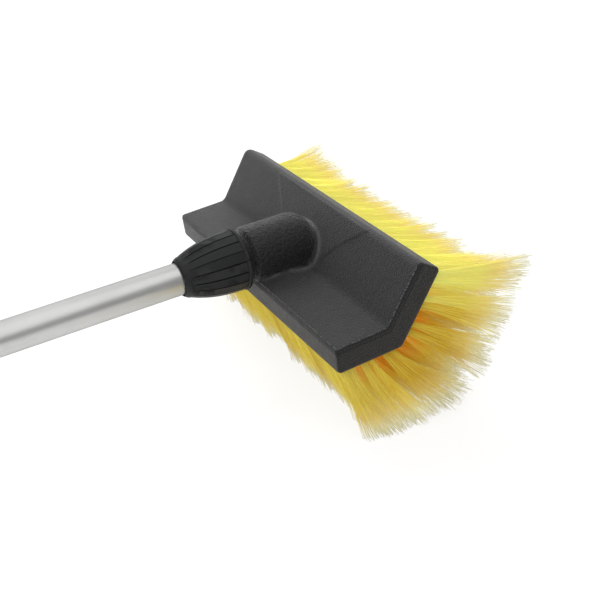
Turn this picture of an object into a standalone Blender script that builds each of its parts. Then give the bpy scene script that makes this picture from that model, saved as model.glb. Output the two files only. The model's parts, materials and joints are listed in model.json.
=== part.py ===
"""Wash broom: an angled, two-level brush head on an aluminium handle with a shut-off valve.

Lengths are metres. X runs along the brush block, the handle leaves towards -Y, and Z is up.
The broom lies on a floor at Z = 0, on the tips of its heel bristles and the rim of its valve.
The block is drawn in a frame of its own: the inner bend of its two wings is the X axis there,
and the lower wing lies along -Y. Turned pieces are drawn about their own Z axis.
"""
import math
import random

import bmesh
import bpy
from mathutils import Matrix, Vector

# Fits that every piece shares
GAP = 0.0003
RUNNING_GAP = 0.0006
OVERRUN = 0.002
WELD = 0.000001

# Aluminium tube; stations run along the handle line from the block's inner bend
TUBE_RADIUS = 0.0120
TUBE_WALL = 0.0012
TUBE_START = 0.0020
TUBE_LENGTH = 1.000
TUBE_END = TUBE_START + TUBE_LENGTH
TUBE_BORE = TUBE_RADIUS - TUBE_WALL

# Brush block
BLOCK_LENGTH = 0.260
BLOCK_THICKNESS = 0.020
LOWER_WING = 0.0405
UPPER_WING = 0.0495
WING_ANGLE = math.radians(126.2)
LIP_ROUND = 0.006
EDGE_ROUND = 0.003
INNER_BEND_ROUND = 0.005
OUTER_BEND_ROUND = 0.0045
END_ROUND = 0.0022
CORNER_STEPS = 3
END_STEPS = 2
ROUND_PROFILE_SHARE = 0.5

# Handle line in the block
AXIS_HEIGHT = 0.013
HANDLE_RISE = math.radians(2.25)

# Handle boss, stub and socket, with stations along the handle line
SEAL_SPACE = 0.0035
SEAL_POCKET_RADIUS = TUBE_RADIUS + SEAL_SPACE
STUB_WALL = 0.0025
STUB_RADIUS = SEAL_POCKET_RADIUS + STUB_WALL
STUB_CHAMFER = 0.001
BOSS_STEP = 0.0043
BOSS_RADIUS = STUB_RADIUS + BOSS_STEP
BOSS_RIM = 0.0395
BOSS_RIM_ROUND = 0.0015
BOSS_DOME_START = 0.001
BOSS_DOME_LENGTH = 0.0175
BOSS_DOME_STEPS = 5
BOSS_FOOT_DEPTH = 0.003
BOSS_FOOT_STEPS = 3
FLARE_REACH = 0.0057
FLARE_HALF_WIDTH = BOSS_RADIUS + FLARE_REACH
FLARE_HALF_HEIGHT = 0.0203
FLARE_CENTRE = 0.0080
FLARE_RISE = 0.0050
MOUND_REACH = 0.0187
MOUND_HALF_WIDTH = BOSS_RADIUS + MOUND_REACH
MOUND_HALF_LENGTH = 0.0240
MOUND_CENTRE = 0.0200
MOUND_RISE = 0.0070
MOUND_INSET = 0.0215
STUB_LENGTH = 0.0185
STUB_END = BOSS_RIM + STUB_LENGTH
SOCKET_FLOOR = TUBE_START - GAP
SEAL_SHOULDER = 0.0200
WATER_BORE_RADIUS = 0.0050
WATER_BORE_END = 0.0130
FEED_BORE_RADIUS = 0.0025
TURNED_SEGMENTS = 40
VALVE_SEGMENTS = 24
SMALL_SEGMENTS = 16
HOLE_SEGMENTS = 10

# Spray bar and its channel along the outer bend
SPRAY_BAR_WIDTH = 0.0070
SPRAY_BAR_THICKNESS = 0.0030
SPRAY_END_MARGIN = 0.0120
SPRAY_BAR_LENGTH = BLOCK_LENGTH - 2 * SPRAY_END_MARGIN
SPRAY_LEDGE = 0.0010
SPRAY_CHANNEL_WIDTH = SPRAY_BAR_WIDTH - 2 * SPRAY_LEDGE
SPRAY_CHANNEL_DEPTH = 0.0110
SPRAY_HOLE_RADIUS = 0.0015
SPRAY_HOLE_COUNT = 11

# Bristle strips and their strands
BRISTLE_LENGTH = 0.062
BRISTLE_RAGGED = 0.0018
STRIP_END_MARGIN = 0.0050
STRIP_LENGTH = BLOCK_LENGTH - 2 * STRIP_END_MARGIN
STRIP_DEPTH = 0.0035
STRIPS_PER_WING = 3
STRIP_RIB = 0.0012
BEND_MARGIN = 0.0065
FREE_MARGIN = 0.0035
STRANDS_LONG = 34
STRANDS_WIDE = 2
STRAND_INSET = 0.0010
STRAND_TIP_SHARE = 0.85
STRAND_WANDER = 0.0007
HEEL_ANGLE = math.radians(-70.0)
HEEL_OPENING = math.radians(8.0)
LIP_ANGLE = math.radians(-24.0)
LIP_OPENING = math.radians(11.0)
SIDE_SPREAD_SHARE = 0.05
END_SPLAY = 0.0110
END_SPLAY_POWER = 4
TRIM_DEPTH = 0.0005
BRISTLE_SEED = 7

# Socket seal, split collet and slip ring
SEAL_LENGTH = 0.0060
SEAL_ROUND = 0.0008
COLLET_START = SEAL_SHOULDER + GAP + SEAL_LENGTH + GAP
COLLET_SHOULDER = STUB_END + GAP
COLLET_HEAD_STEP = 0.0015
COLLET_HEAD_RADIUS = STUB_RADIUS - COLLET_HEAD_STEP
COLLET_HEAD_LENGTH = 0.0035
COLLET_TAPER = COLLET_SHOULDER + COLLET_HEAD_LENGTH
COLLET_TIP_WALL = 0.0016
COLLET_TIP_RADIUS = TUBE_RADIUS + COLLET_TIP_WALL
COLLET_SLOT_WIDTH = 0.0015
COLLET_SLOT_START = 0.0090
COLLET_SLOTS = 4
SLIP_RING_STEP = 0.0005
SLIP_RING_RADIUS = STUB_RADIUS + SLIP_RING_STEP
SLIP_RING_LENGTH = 0.0120
SLIP_RING_CHAMFER = 0.0005
COLLET_END = COLLET_TAPER + SLIP_RING_LENGTH

# Collar nut
NUT_CLEARANCE = 0.0055
NUT_START = BOSS_RIM + NUT_CLEARANCE
NUT_SEAT = COLLET_END + 2 * GAP
NUT_NOSE_LENGTH = 0.0201
NUT_END = NUT_SEAT + NUT_NOSE_LENGTH
NUT_CHAMBER_RADIUS = SLIP_RING_RADIUS + GAP
NUT_WALL = 0.0041
NUT_WAIST_RADIUS = NUT_CHAMBER_RADIUS + NUT_WALL
NUT_FLANGE_STEP = 0.0006
NUT_FLANGE_RADIUS = NUT_WAIST_RADIUS + NUT_FLANGE_STEP
NUT_FLANGE_LENGTH = 0.0030
NUT_FLANGE_ROUND = 0.0006
NUT_RING_WALL = 0.0035
NUT_RING_RADIUS = TUBE_RADIUS + NUT_RING_WALL
NUT_RING_LENGTH = 0.0065
NUT_MOUTH_TAPER = 0.0014
NUT_MOUTH_RADIUS = NUT_RING_RADIUS - NUT_MOUTH_TAPER
NUT_MOUTH_ROUND = 0.0008
NUT_BELL_POWER = 2.6
NUT_FACETS = 18
NUT_FACET_CORNERS = 4
NUT_GROOVE_WIDTH = 0.0010
NUT_GROOVE_DEPTH = 0.0007
NUT_BELL_STATIONS = 6

# Grip sleeve
GRIP_LENGTH = 0.185
GRIP_WALL = 0.0035
GRIP_RADIUS = TUBE_RADIUS + GRIP_WALL
GRIP_WAIST = 0.0010
GRIP_RIDGES = 9
GRIP_END_BAND = 0.012
GRIP_SEGMENTS = 24

# Valve ball and its chamber; stations run from the tube's far end
BALL_RADIUS = 0.0090
BALL_STATION = 0.0240
BALL_BORE_RADIUS = 0.0045
BALL_SLOT_WIDTH = 0.0036
BALL_SLOT_DEPTH = 0.0031
BALL_SLOT_FLOOR = BALL_RADIUS - BALL_SLOT_DEPTH
CHAMBER_CLEARANCE = 0.0005
CHAMBER_RADIUS = BALL_RADIUS + CHAMBER_CLEARANCE
CHAMBER_HALF_LENGTH = 0.0120
CHAMBER_FLOOR = BALL_STATION - CHAMBER_HALF_LENGTH
CHAMBER_END = BALL_STATION + CHAMBER_HALF_LENGTH
SEAT_STEPS = 3
SEAT_EDGE_ANGLE = math.radians(52.0)

# Valve housing
SPIGOT_LENGTH = 0.028
SPIGOT_GROOVE_START = 0.0160
SPIGOT_GROOVE_WIDTH = 0.0032
SPIGOT_GROOVE_DEPTH = 0.0019
VALVE_BORE_RADIUS = 0.0055
VALVE_SHOULDER_STEP = 0.0028
VALVE_SHOULDER_RADIUS = TUBE_RADIUS + VALVE_SHOULDER_STEP
VALVE_SHOULDER_LENGTH = 0.0050
VALVE_WALL = 0.0075
VALVE_RADIUS = CHAMBER_RADIUS + VALVE_WALL
VALVE_CHAMFER = 0.0015
NECK_LENGTH = 0.0090
VALVE_LENGTH = CHAMBER_END + NECK_LENGTH

# Valve stem; its heights run up from the handle line
STEM_RADIUS = 0.0038
STEM_POCKET_DEPTH = 0.0025
STEM_POCKET_TOP = CHAMBER_RADIUS + STEM_POCKET_DEPTH
STEM_FLANGE_STEP = 0.0013
STEM_FLANGE_RADIUS = STEM_RADIUS + STEM_FLANGE_STEP
STEM_FLANGE_LOW = BALL_RADIUS + GAP
STEM_FLANGE_HIGH = STEM_POCKET_TOP - GAP
STEM_BOSS_WALL = 0.0047
STEM_BOSS_RADIUS = STEM_RADIUS + STEM_BOSS_WALL
STEM_BOSS_ROOT = 0.0035
STEM_BOSS_FOOT = CHAMBER_RADIUS + STEM_BOSS_ROOT
STEM_BOSS_HEIGHT = 0.0070
STEM_BOSS_TOP = VALVE_RADIUS + STEM_BOSS_HEIGHT
STEM_NECK_DEPTH = 0.0012
STEM_NECK_RADIUS = STEM_RADIUS - STEM_NECK_DEPTH
STEM_NECK_RISE = 0.0030
STEM_NECK_START = STEM_POCKET_TOP + STEM_NECK_RISE
STEM_NECK_WIDTH = 0.0022
TONGUE_LENGTH = 0.0080
TONGUE_ROOT_SHARE = 0.5

# Valve lever and its screw
LEVER_BASE = STEM_BOSS_TOP + GAP
LEVER_HUB_WALL = 0.0042
LEVER_HUB_RADIUS = STEM_RADIUS + LEVER_HUB_WALL
LEVER_HUB_HEIGHT = 0.0080
LEVER_HUB_TOP = LEVER_BASE + LEVER_HUB_HEIGHT
LEVER_ROOF = 0.0010
STEM_TOP = LEVER_HUB_TOP - LEVER_ROOF - GAP
LEVER_ARM_LENGTH = 0.046
LEVER_ARM_WIDTH = 0.0120
LEVER_TIP_WIDTH = 0.0150
LEVER_ARM_THICKNESS = 0.0040
LEVER_TIP_LIFT = 0.0050
LEVER_ROUND = 0.0010
LEVER_TIP_STEPS = 6
SCREW_HEAD_RADIUS = 0.0048
SCREW_HEAD_HEIGHT = 0.0026
SCREW_SHANK_RADIUS = 0.0016
SCREW_SHANK_LENGTH = 0.0080
SCREW_SHANK_END = STEM_TOP - SCREW_SHANK_LENGTH
SCREW_SLOT_WIDTH = 0.0012
SCREW_SLOT_DEPTH = 0.0010

# Hose connector
CONNECTOR_BORE_RADIUS = 0.0042
CONNECTOR_NECK_RADIUS = CHAMBER_RADIUS - GAP
CONNECTOR_FLANGE_RADIUS = 0.0140
CONNECTOR_FLANGE_LENGTH = 0.0050
CONNECTOR_NOSE_WALL = 0.0028
CONNECTOR_NOSE_RADIUS = CONNECTOR_BORE_RADIUS + CONNECTOR_NOSE_WALL
CONNECTOR_NOSE_LENGTH = 0.0110
CONNECTOR_NOSE_CHAMFER = 0.0008
CONNECTOR_STEM_STEP = 0.0008
CONNECTOR_STEM_RADIUS = CONNECTOR_NOSE_RADIUS + CONNECTOR_STEM_STEP
CONNECTOR_STEM_LENGTH = 0.0070
CONNECTOR_CATCH_STEP = 0.0012
CONNECTOR_CATCH_RADIUS = CONNECTOR_STEM_RADIUS + CONNECTOR_CATCH_STEP
CONNECTOR_CATCH_LENGTH = 0.0055
CONNECTOR_CATCH_RAMP = 0.0020
CONNECTOR_GROOVE_START = 0.0030
CONNECTOR_GROOVE_WIDTH = 0.0026
CONNECTOR_GROOVE_DEPTH = 0.0014
RING_ROUND_STEPS = 1

SMOOTH_ANGLE = math.radians(32.0)
FLAT_ANGLE = math.radians(0.5)

# Materials: linear colour, roughness, metallic
FINISHES = {
    "block_plastic": ((0.052, 0.053, 0.055), 0.62, 0.0),
    "nut_plastic": ((0.018, 0.019, 0.021), 0.38, 0.0),
    "black_rubber": ((0.012, 0.012, 0.012), 0.80, 0.0),
    "collet_plastic": ((0.60, 0.60, 0.57), 0.45, 0.0),
    "spray_plastic": ((0.040, 0.041, 0.043), 0.50, 0.0),
    "bristle_yellow": ((0.83, 0.56, 0.10), 0.55, 0.0),
    "tube_aluminium": ((0.66, 0.66, 0.65), 0.34, 1.0),
    "grip_rubber": ((0.022, 0.022, 0.024), 0.70, 0.0),
    "valve_plastic": ((0.024, 0.025, 0.027), 0.45, 0.0),
    "seat_plastic": ((0.78, 0.78, 0.75), 0.40, 0.0),
    "valve_brass": ((0.72, 0.52, 0.24), 0.28, 1.0),
    "lever_yellow": ((0.80, 0.50, 0.04), 0.42, 0.0),
    "screw_steel": ((0.55, 0.55, 0.56), 0.30, 1.0),
}


def clear_scene():
    """Remove every object of the open scene."""
    for thing in list(bpy.data.objects):
        bpy.data.objects.remove(thing, do_unlink=True)


def finish(name):
    """The Principled material of that name."""
    if name in bpy.data.materials:
        return bpy.data.materials[name]
    colour, roughness, metallic = FINISHES[name]
    result = bpy.data.materials.new(name)
    result.use_nodes = True
    shader = result.node_tree.nodes["Principled BSDF"]
    shader.inputs["Base Color"].default_value = (*colour, 1.0)
    shader.inputs["Roughness"].default_value = roughness
    shader.inputs["Metallic"].default_value = metallic
    return result


def empty(name, parent, location, rotation):
    """A frame that pieces hang on."""
    frame = bpy.data.objects.new(name, None)
    bpy.context.collection.objects.link(frame)
    frame.parent = parent
    frame.location = location
    frame.rotation_euler = rotation
    return frame


def piece(name, mesh_data, parent, finish_name):
    """Turn a bmesh into a named object with its material."""
    mesh = bpy.data.meshes.new(name)
    mesh_data.to_mesh(mesh)
    mesh_data.free()
    mesh.shade_smooth()
    mesh.set_sharp_from_angle(angle=SMOOTH_ANGLE)
    thing = bpy.data.objects.new(name, mesh)
    bpy.context.collection.objects.link(thing)
    thing.parent = parent
    mesh.materials.append(finish(finish_name))
    return thing


def shape_with(target, tools, operation):
    """Cut the target with the tools, or join them to it."""
    for tool in tools:
        step = target.modifiers.new(tool.name, "BOOLEAN")
        step.operation = operation
        step.solver = "EXACT"
        step.object = tool
        tool.hide_render = True
        tool.display_type = "WIRE"


def rounded(corners, steps):
    """An outline from corners (a, b, radius), with an arc at each radius above zero."""
    outline = []
    for index, (a, b, radius) in enumerate(corners):
        corner = Vector((a, b))
        if radius == 0:
            outline.append(corner)
            continue
        back = (Vector(corners[index - 1][:2]) - corner).normalized()
        onward = (Vector(corners[(index + 1) % len(corners)][:2]) - corner).normalized()
        half = back.angle(onward) / 2
        centre = corner + (back + onward).normalized() * (radius / math.sin(half))
        start = corner + back * (radius / math.tan(half)) - centre
        end = corner + onward * (radius / math.tan(half)) - centre
        turn = start.angle_signed(end)
        for step in range(steps + 1):
            outline.append(centre + Matrix.Rotation(-turn * step / steps, 2) @ start)
    return outline


def turned(outline, segments):
    """A bmesh turned about Z from (radius, height) points; points at radius zero close it."""
    shape = bmesh.new()
    points = [shape.verts.new((radius, 0, height)) for radius, height in outline]
    pairs = list(zip(points, points[1:]))
    if all(radius > 0 for radius, height in outline):
        pairs.append((points[-1], points[0]))
    edges = [shape.edges.new(pair) for pair in pairs]
    bmesh.ops.spin(shape, geom=points + edges, cent=(0, 0, 0), axis=(0, 0, 1),
                   angle=2 * math.pi, steps=segments, use_merge=True)
    bmesh.ops.remove_doubles(shape, verts=shape.verts, dist=WELD)
    bmesh.ops.recalc_face_normals(shape, faces=shape.faces)
    return shape


def extruded(outline, start, end, place):
    """A bmesh with the outline's points sent through place(a, b, c), c from start to end."""
    shape = bmesh.new()
    face = shape.faces.new([shape.verts.new(place(a, b, start)) for a, b in outline])
    far = bmesh.ops.extrude_face_region(shape, geom=[face], use_keep_orig=True)
    step = Vector(place(0, 0, end)) - Vector(place(0, 0, start))
    moved = [part for part in far["geom"] if isinstance(part, bmesh.types.BMVert)]
    bmesh.ops.translate(shape, verts=moved, vec=step)
    bmesh.ops.recalc_face_normals(shape, faces=shape.faces)
    return shape


def circle(radius, segments):
    """Points (x, y) evenly round a circle."""
    return [(radius * math.cos(2 * math.pi * step / segments),
             radius * math.sin(2 * math.pi * step / segments)) for step in range(segments)]


def skinned(loops):
    """A bmesh over closed loops of as many points each, capped at both ends."""
    shape = bmesh.new()
    rows = [[shape.verts.new(point) for point in loop] for loop in loops]
    for near, far in zip(rows, rows[1:]):
        for i in range(len(near)):
            shape.faces.new((near[i - 1], near[i], far[i], far[i - 1]))
    shape.faces.new(rows[0])
    shape.faces.new(reversed(rows[-1]))
    bmesh.ops.recalc_face_normals(shape, faces=shape.faces)
    return shape


def box(low, high):
    """A bmesh box between two corners."""
    shape = bmesh.new()
    low = Vector(low)
    high = Vector(high)
    size = high - low
    bmesh.ops.create_cube(shape, size=1)
    bmesh.ops.scale(shape, verts=shape.verts, vec=size)
    bmesh.ops.translate(shape, verts=shape.verts, vec=(low + high) / 2)
    return shape


def drill(name, start, end, radius, parent, segments):
    """A round cutter from start to end in the parent's frame."""
    start = Vector(start)
    run = Vector(end) - start
    outline = [(0, 0), (radius, 0), (radius, run.length), (0, run.length)]
    tool = piece(name, turned(outline, segments), parent, "block_plastic")
    tool.location = start
    tool.rotation_euler = run.to_track_quat("Z", "Y").to_euler()
    return tool


def ring_outline(inner, outer, start, end, corner):
    """A turned ring's outline with rounded corners."""
    corners = [(inner, start, corner), (outer, start, corner),
               (outer, end, corner), (inner, end, corner)]
    return rounded(corners, RING_ROUND_STEPS)


class Wing:
    """One wing's bristle face, seen in the block's Y-Z plane from the outer bend."""

    def __init__(self, inner_length, direction, outward, heel_side):
        turn = (math.pi - WING_ANGLE) / 2
        self.length = inner_length + BLOCK_THICKNESS * math.tan(turn)
        self.direction = direction
        self.outward = outward
        self.heel_side = heel_side
        self.pitch = (self.length - BEND_MARGIN - FREE_MARGIN) / STRIPS_PER_WING

    def point(self, along, above):
        """The Y-Z point at a distance from the outer bend and above the face."""
        return OUTER_BEND + self.direction * along + self.outward * above

    def strip_span(self, index):
        """Where a strip starts and ends along the face."""
        start = BEND_MARGIN + index * self.pitch + STRIP_RIB / 2
        return start, start + self.pitch - STRIP_RIB

    def place(self, x, along, above):
        """The block-frame point over the face."""
        y, z = self.point(along, above)
        return Vector((x, y, z))


def fan_share(wing, along):
    """How far round the bristle fan a point is: 0 at the heel edge, 1 at the upper lip."""
    if wing.heel_side:
        return (wing.length - along) / (LOWER.length + UPPER.length)
    return (LOWER.length + along) / (LOWER.length + UPPER.length)


def strand_reach(x, share, length):
    """The vector from a strand's root to its tip."""
    end_share = abs(x) / (BLOCK_LENGTH / 2)
    splay = end_share ** END_SPLAY_POWER
    heel = HEEL_ANGLE - HEEL_OPENING * splay
    lip = LIP_ANGLE + LIP_OPENING * splay
    angle = heel + (lip - heel) * share
    side = x * SIDE_SPREAD_SHARE + math.copysign(END_SPLAY * splay, x)
    return Vector((side, math.cos(angle) * length, math.sin(angle) * length))


LOWER_DIRECTION = Vector((-1, 0))
UPPER_DIRECTION = Vector((-math.cos(WING_ANGLE), math.sin(WING_ANGLE)))
LOWER_OUTWARD = Vector((0, -1))
UPPER_OUTWARD = Vector((math.sin(WING_ANGLE), math.cos(WING_ANGLE)))
BEND_OUTWARD = (LOWER_OUTWARD + UPPER_OUTWARD).normalized()
BEND_ACROSS = Vector((-BEND_OUTWARD.y, BEND_OUTWARD.x))
OUTER_BEND = BEND_OUTWARD * (BLOCK_THICKNESS / math.sin(WING_ANGLE / 2))
LOWER = Wing(LOWER_WING, LOWER_DIRECTION, LOWER_OUTWARD, True)
UPPER = Wing(UPPER_WING, UPPER_DIRECTION, UPPER_OUTWARD, False)

HANDLE_DIRECTION = Vector((0, -math.cos(HANDLE_RISE), math.sin(HANDLE_RISE)))
HANDLE_UP = Vector((0, math.sin(HANDLE_RISE), math.cos(HANDLE_RISE)))
HANDLE_START = Vector((0, 0, AXIS_HEIGHT))


def heel_tip():
    """The nominal tip of the heel line at mid length."""
    low, high = LOWER.strip_span(STRIPS_PER_WING - 1)
    cell = (high - low) / STRANDS_WIDE
    along = high - cell / 2
    reach = strand_reach(0, fan_share(LOWER, along), BRISTLE_LENGTH)
    return LOWER.place(0, along, 0) + reach


def valve_rim():
    """The lowest point of the valve body's rim, in the block's frame."""
    station = TUBE_END + VALVE_LENGTH - VALVE_CHAMFER
    return HANDLE_START + HANDLE_DIRECTION * station - HANDLE_UP * VALVE_RADIUS


FLOOR_POINT = heel_tip()
REST_TILT = math.atan2(valve_rim().z - FLOOR_POINT.z, FLOOR_POINT.y - valve_rim().y)
FLOOR_UP = Vector((0, math.sin(REST_TILT), math.cos(REST_TILT)))


def block_body():
    """The bent bar of the block, with its long corners and its ends rounded."""
    lower_end = LOWER_DIRECTION * LOWER_WING
    upper_end = UPPER_DIRECTION * UPPER_WING
    lower_heel = lower_end + LOWER_OUTWARD * BLOCK_THICKNESS
    upper_lip = upper_end + UPPER_OUTWARD * BLOCK_THICKNESS
    corners = [
        (*lower_end, EDGE_ROUND),
        (0, 0, INNER_BEND_ROUND),
        (*upper_end, LIP_ROUND),
        (*upper_lip, EDGE_ROUND),
        (*OUTER_BEND, OUTER_BEND_ROUND),
        (*lower_heel, EDGE_ROUND),
    ]
    half = BLOCK_LENGTH / 2
    shape = extruded(rounded(corners, CORNER_STEPS), -half, half, lambda a, b, c: (c, a, b))
    ends = [face for face in shape.faces if abs(face.normal.x) > math.cos(SMOOTH_ANGLE)]
    edges = {edge for face in ends for edge in face.edges}
    bmesh.ops.bevel(shape, geom=list(edges), offset=END_ROUND, segments=END_STEPS,
                    profile=ROUND_PROFILE_SHARE, affect="EDGES")
    return shape


def boss_body():
    """The round boss and its stub; the boss ends in a dome that sinks into the upper wing."""
    outline = [
        (0, STUB_END),
        (STUB_RADIUS - STUB_CHAMFER, STUB_END),
        (STUB_RADIUS, STUB_END - STUB_CHAMFER),
        (STUB_RADIUS, BOSS_RIM),
        (BOSS_RADIUS - BOSS_RIM_ROUND, BOSS_RIM),
        (BOSS_RADIUS, BOSS_RIM - BOSS_RIM_ROUND),
    ]
    for step in range(BOSS_DOME_STEPS):
        angle = math.pi / 2 * step / BOSS_DOME_STEPS
        outline.append((BOSS_RADIUS * math.cos(angle),
                        BOSS_DOME_START - BOSS_DOME_LENGTH * math.sin(angle)))
    outline.append((0, BOSS_DOME_START - BOSS_DOME_LENGTH))
    return turned(outline, TURNED_SEGMENTS)


def boss_foot(wing, centre, half_width, half_along, inset, rise):
    """An oval foot on a wing's inner face that rises in a hollow curve towards the boss."""
    levels = [(0, -BOSS_FOOT_DEPTH)]
    for step in range(BOSS_FOOT_STEPS + 1):
        angle = math.pi / 2 * step / BOSS_FOOT_STEPS
        levels.append((inset * math.sin(angle), rise * (1 - math.cos(angle)) - GAP))
    front = BOSS_RIM - GAP if wing.heel_side else centre + half_along
    loops = []
    for shrink, height in levels:
        loop = []
        for x, along in circle(1, VALVE_SEGMENTS):
            reach = min(centre + along * (half_along - shrink), front)
            side = wing.direction * reach - wing.outward * height
            loop.append((x * (half_width - shrink), *side))
        loops.append(loop)
    return skinned(loops)


def socket_cutter():
    """The stepped bore for tube, seal and collet, with the water way behind it."""
    outline = [
        (0, -WATER_BORE_END),
        (WATER_BORE_RADIUS, -WATER_BORE_END),
        (WATER_BORE_RADIUS, SOCKET_FLOOR),
        (TUBE_RADIUS + GAP, SOCKET_FLOOR),
        (TUBE_RADIUS + GAP, SEAL_SHOULDER),
        (SEAL_POCKET_RADIUS, SEAL_SHOULDER),
        (SEAL_POCKET_RADIUS, STUB_END + OVERRUN),
        (0, STUB_END + OVERRUN),
    ]
    return turned(outline, TURNED_SEGMENTS)


def bend_point(across, depth):
    """The Y-Z point at a depth under the outer bend's sharp corner."""
    return OUTER_BEND - BEND_OUTWARD * depth + BEND_ACROSS * across


def bar_face_depth():
    """How deep under the sharp corner the spray bar's outer face lies."""
    turn = (math.pi - WING_ANGLE) / 2
    return (SPRAY_BAR_WIDTH / 2 + GAP) * math.tan(turn)


def bend_prism(half_width, low, high, half_length):
    """A bar along the bend between two depths under its sharp corner."""
    outline = [bend_point(-half_width, low), bend_point(half_width, low),
               bend_point(half_width, high), bend_point(-half_width, high)]
    return extruded(outline, -half_length, half_length, lambda a, b, c: (c, a, b))


def make_block(block_frame, handle_frame):
    """The moulded block with its boss, socket, water ways and bristle pockets."""
    block = piece("brush_block", block_body(), block_frame, "block_plastic")
    boss = piece("boss_shape", boss_body(), handle_frame, "block_plastic")
    flare = boss_foot(UPPER, FLARE_CENTRE, FLARE_HALF_WIDTH, FLARE_HALF_HEIGHT,
                      FLARE_REACH + OVERRUN, FLARE_RISE)
    mound = boss_foot(LOWER, MOUND_CENTRE, MOUND_HALF_WIDTH, MOUND_HALF_LENGTH,
                      MOUND_INSET, MOUND_RISE)
    feet = [piece("flare_shape", flare, block_frame, "block_plastic"),
            piece("mound_shape", mound, block_frame, "block_plastic")]
    shape_with(block, [boss, *feet], "UNION")
    upper_end = HANDLE_START - HANDLE_DIRECTION * (WATER_BORE_END - FEED_BORE_RADIUS)
    lower_end = bend_point(0, SPRAY_CHANNEL_DEPTH - FEED_BORE_RADIUS)
    cutters = [drill("feed_cutter", upper_end, (0, *lower_end), FEED_BORE_RADIUS,
                     block_frame, SMALL_SEGMENTS)]
    cutters.append(piece("socket_cutter", socket_cutter(), handle_frame, "block_plastic"))
    cutters[-1].rotation_euler = (0, 0, math.pi / TURNED_SEGMENTS)
    bar_seat = bar_face_depth() + SPRAY_BAR_THICKNESS + GAP
    half = SPRAY_BAR_LENGTH / 2
    seat = bend_prism(SPRAY_BAR_WIDTH / 2 + GAP, -OVERRUN, bar_seat, half + GAP)
    channel = bend_prism(SPRAY_CHANNEL_WIDTH / 2, -OVERRUN, SPRAY_CHANNEL_DEPTH,
                         half - SPRAY_BAR_THICKNESS)
    cutters.append(piece("bar_seat_cutter", seat, block_frame, "block_plastic"))
    cutters.append(piece("channel_cutter", channel, block_frame, "block_plastic"))
    for label, wing in (("lower", LOWER), ("upper", UPPER)):
        for index in range(STRIPS_PER_WING):
            name = f"{label}_pocket_cutter_{index + 1}"
            cutters.append(piece(name, pocket(wing, index), block_frame, "block_plastic"))
    shape_with(block, cutters, "DIFFERENCE")
    return block


def pocket(wing, index):
    """The recess that a bristle strip sits in."""
    low, high = wing.strip_span(index)
    outline = [wing.point(low - GAP, OVERRUN), wing.point(high + GAP, OVERRUN),
               wing.point(high + GAP, -STRIP_DEPTH - GAP),
               wing.point(low - GAP, -STRIP_DEPTH - GAP)]
    half = STRIP_LENGTH / 2 + GAP
    return extruded(outline, -half, half, lambda a, b, c: (c, a, b))


def make_spray_bar(block_frame):
    """The bar that closes the water channel, with its row of spray holes."""
    low = bar_face_depth()
    body = bend_prism(SPRAY_BAR_WIDTH / 2, low, low + SPRAY_BAR_THICKNESS,
                      SPRAY_BAR_LENGTH / 2)
    bar = piece("spray_bar", body, block_frame, "spray_plastic")
    holes = []
    pitch = SPRAY_BAR_LENGTH / SPRAY_HOLE_COUNT
    for index in range(SPRAY_HOLE_COUNT):
        x = (index - (SPRAY_HOLE_COUNT - 1) / 2) * pitch
        top = (x, *bend_point(0, low - OVERRUN))
        bottom = (x, *bend_point(0, low + SPRAY_BAR_THICKNESS + OVERRUN))
        holes.append(drill(f"spray_hole_{index + 1}", bottom, top, SPRAY_HOLE_RADIUS,
                           block_frame, HOLE_SEGMENTS))
    shape_with(bar, holes, "DIFFERENCE")
    return bar


def strip_sheet(wing, index):
    """The strip's face as a grid of cells, one for each strand."""
    low, high = wing.strip_span(index)
    shape = bmesh.new()
    rows = []
    for wide in range(STRANDS_WIDE + 1):
        along = low + (high - low) * wide / STRANDS_WIDE
        row = []
        for long in range(STRANDS_LONG + 1):
            x = STRIP_LENGTH * (long / STRANDS_LONG - 1 / 2)
            row.append(shape.verts.new(wing.place(x, along, 0)))
        rows.append(row)
    for near, far in zip(rows, rows[1:]):
        for i in range(STRANDS_LONG):
            shape.faces.new((near[i], near[i + 1], far[i + 1], far[i]))
    return shape


def close_strip(shape, wing):
    """Give the sheet its sides and its back."""
    rim = [edge for edge in shape.edges if edge.is_boundary]
    skirt = bmesh.ops.extrude_edge_only(shape, edges=rim)
    under = [part for part in skirt["geom"] if isinstance(part, bmesh.types.BMVert)]
    back = Vector((0, *(wing.outward * -STRIP_DEPTH)))
    bmesh.ops.translate(shape, verts=under, vec=back)
    bmesh.ops.edgeloop_fill(shape, edges=[edge for edge in shape.edges if edge.is_boundary])
    uprights = [edge for vert in under for edge in vert.link_edges]
    bmesh.ops.dissolve_limit(shape, angle_limit=FLAT_ANGLE, verts=under, edges=list(set(uprights)))


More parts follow.
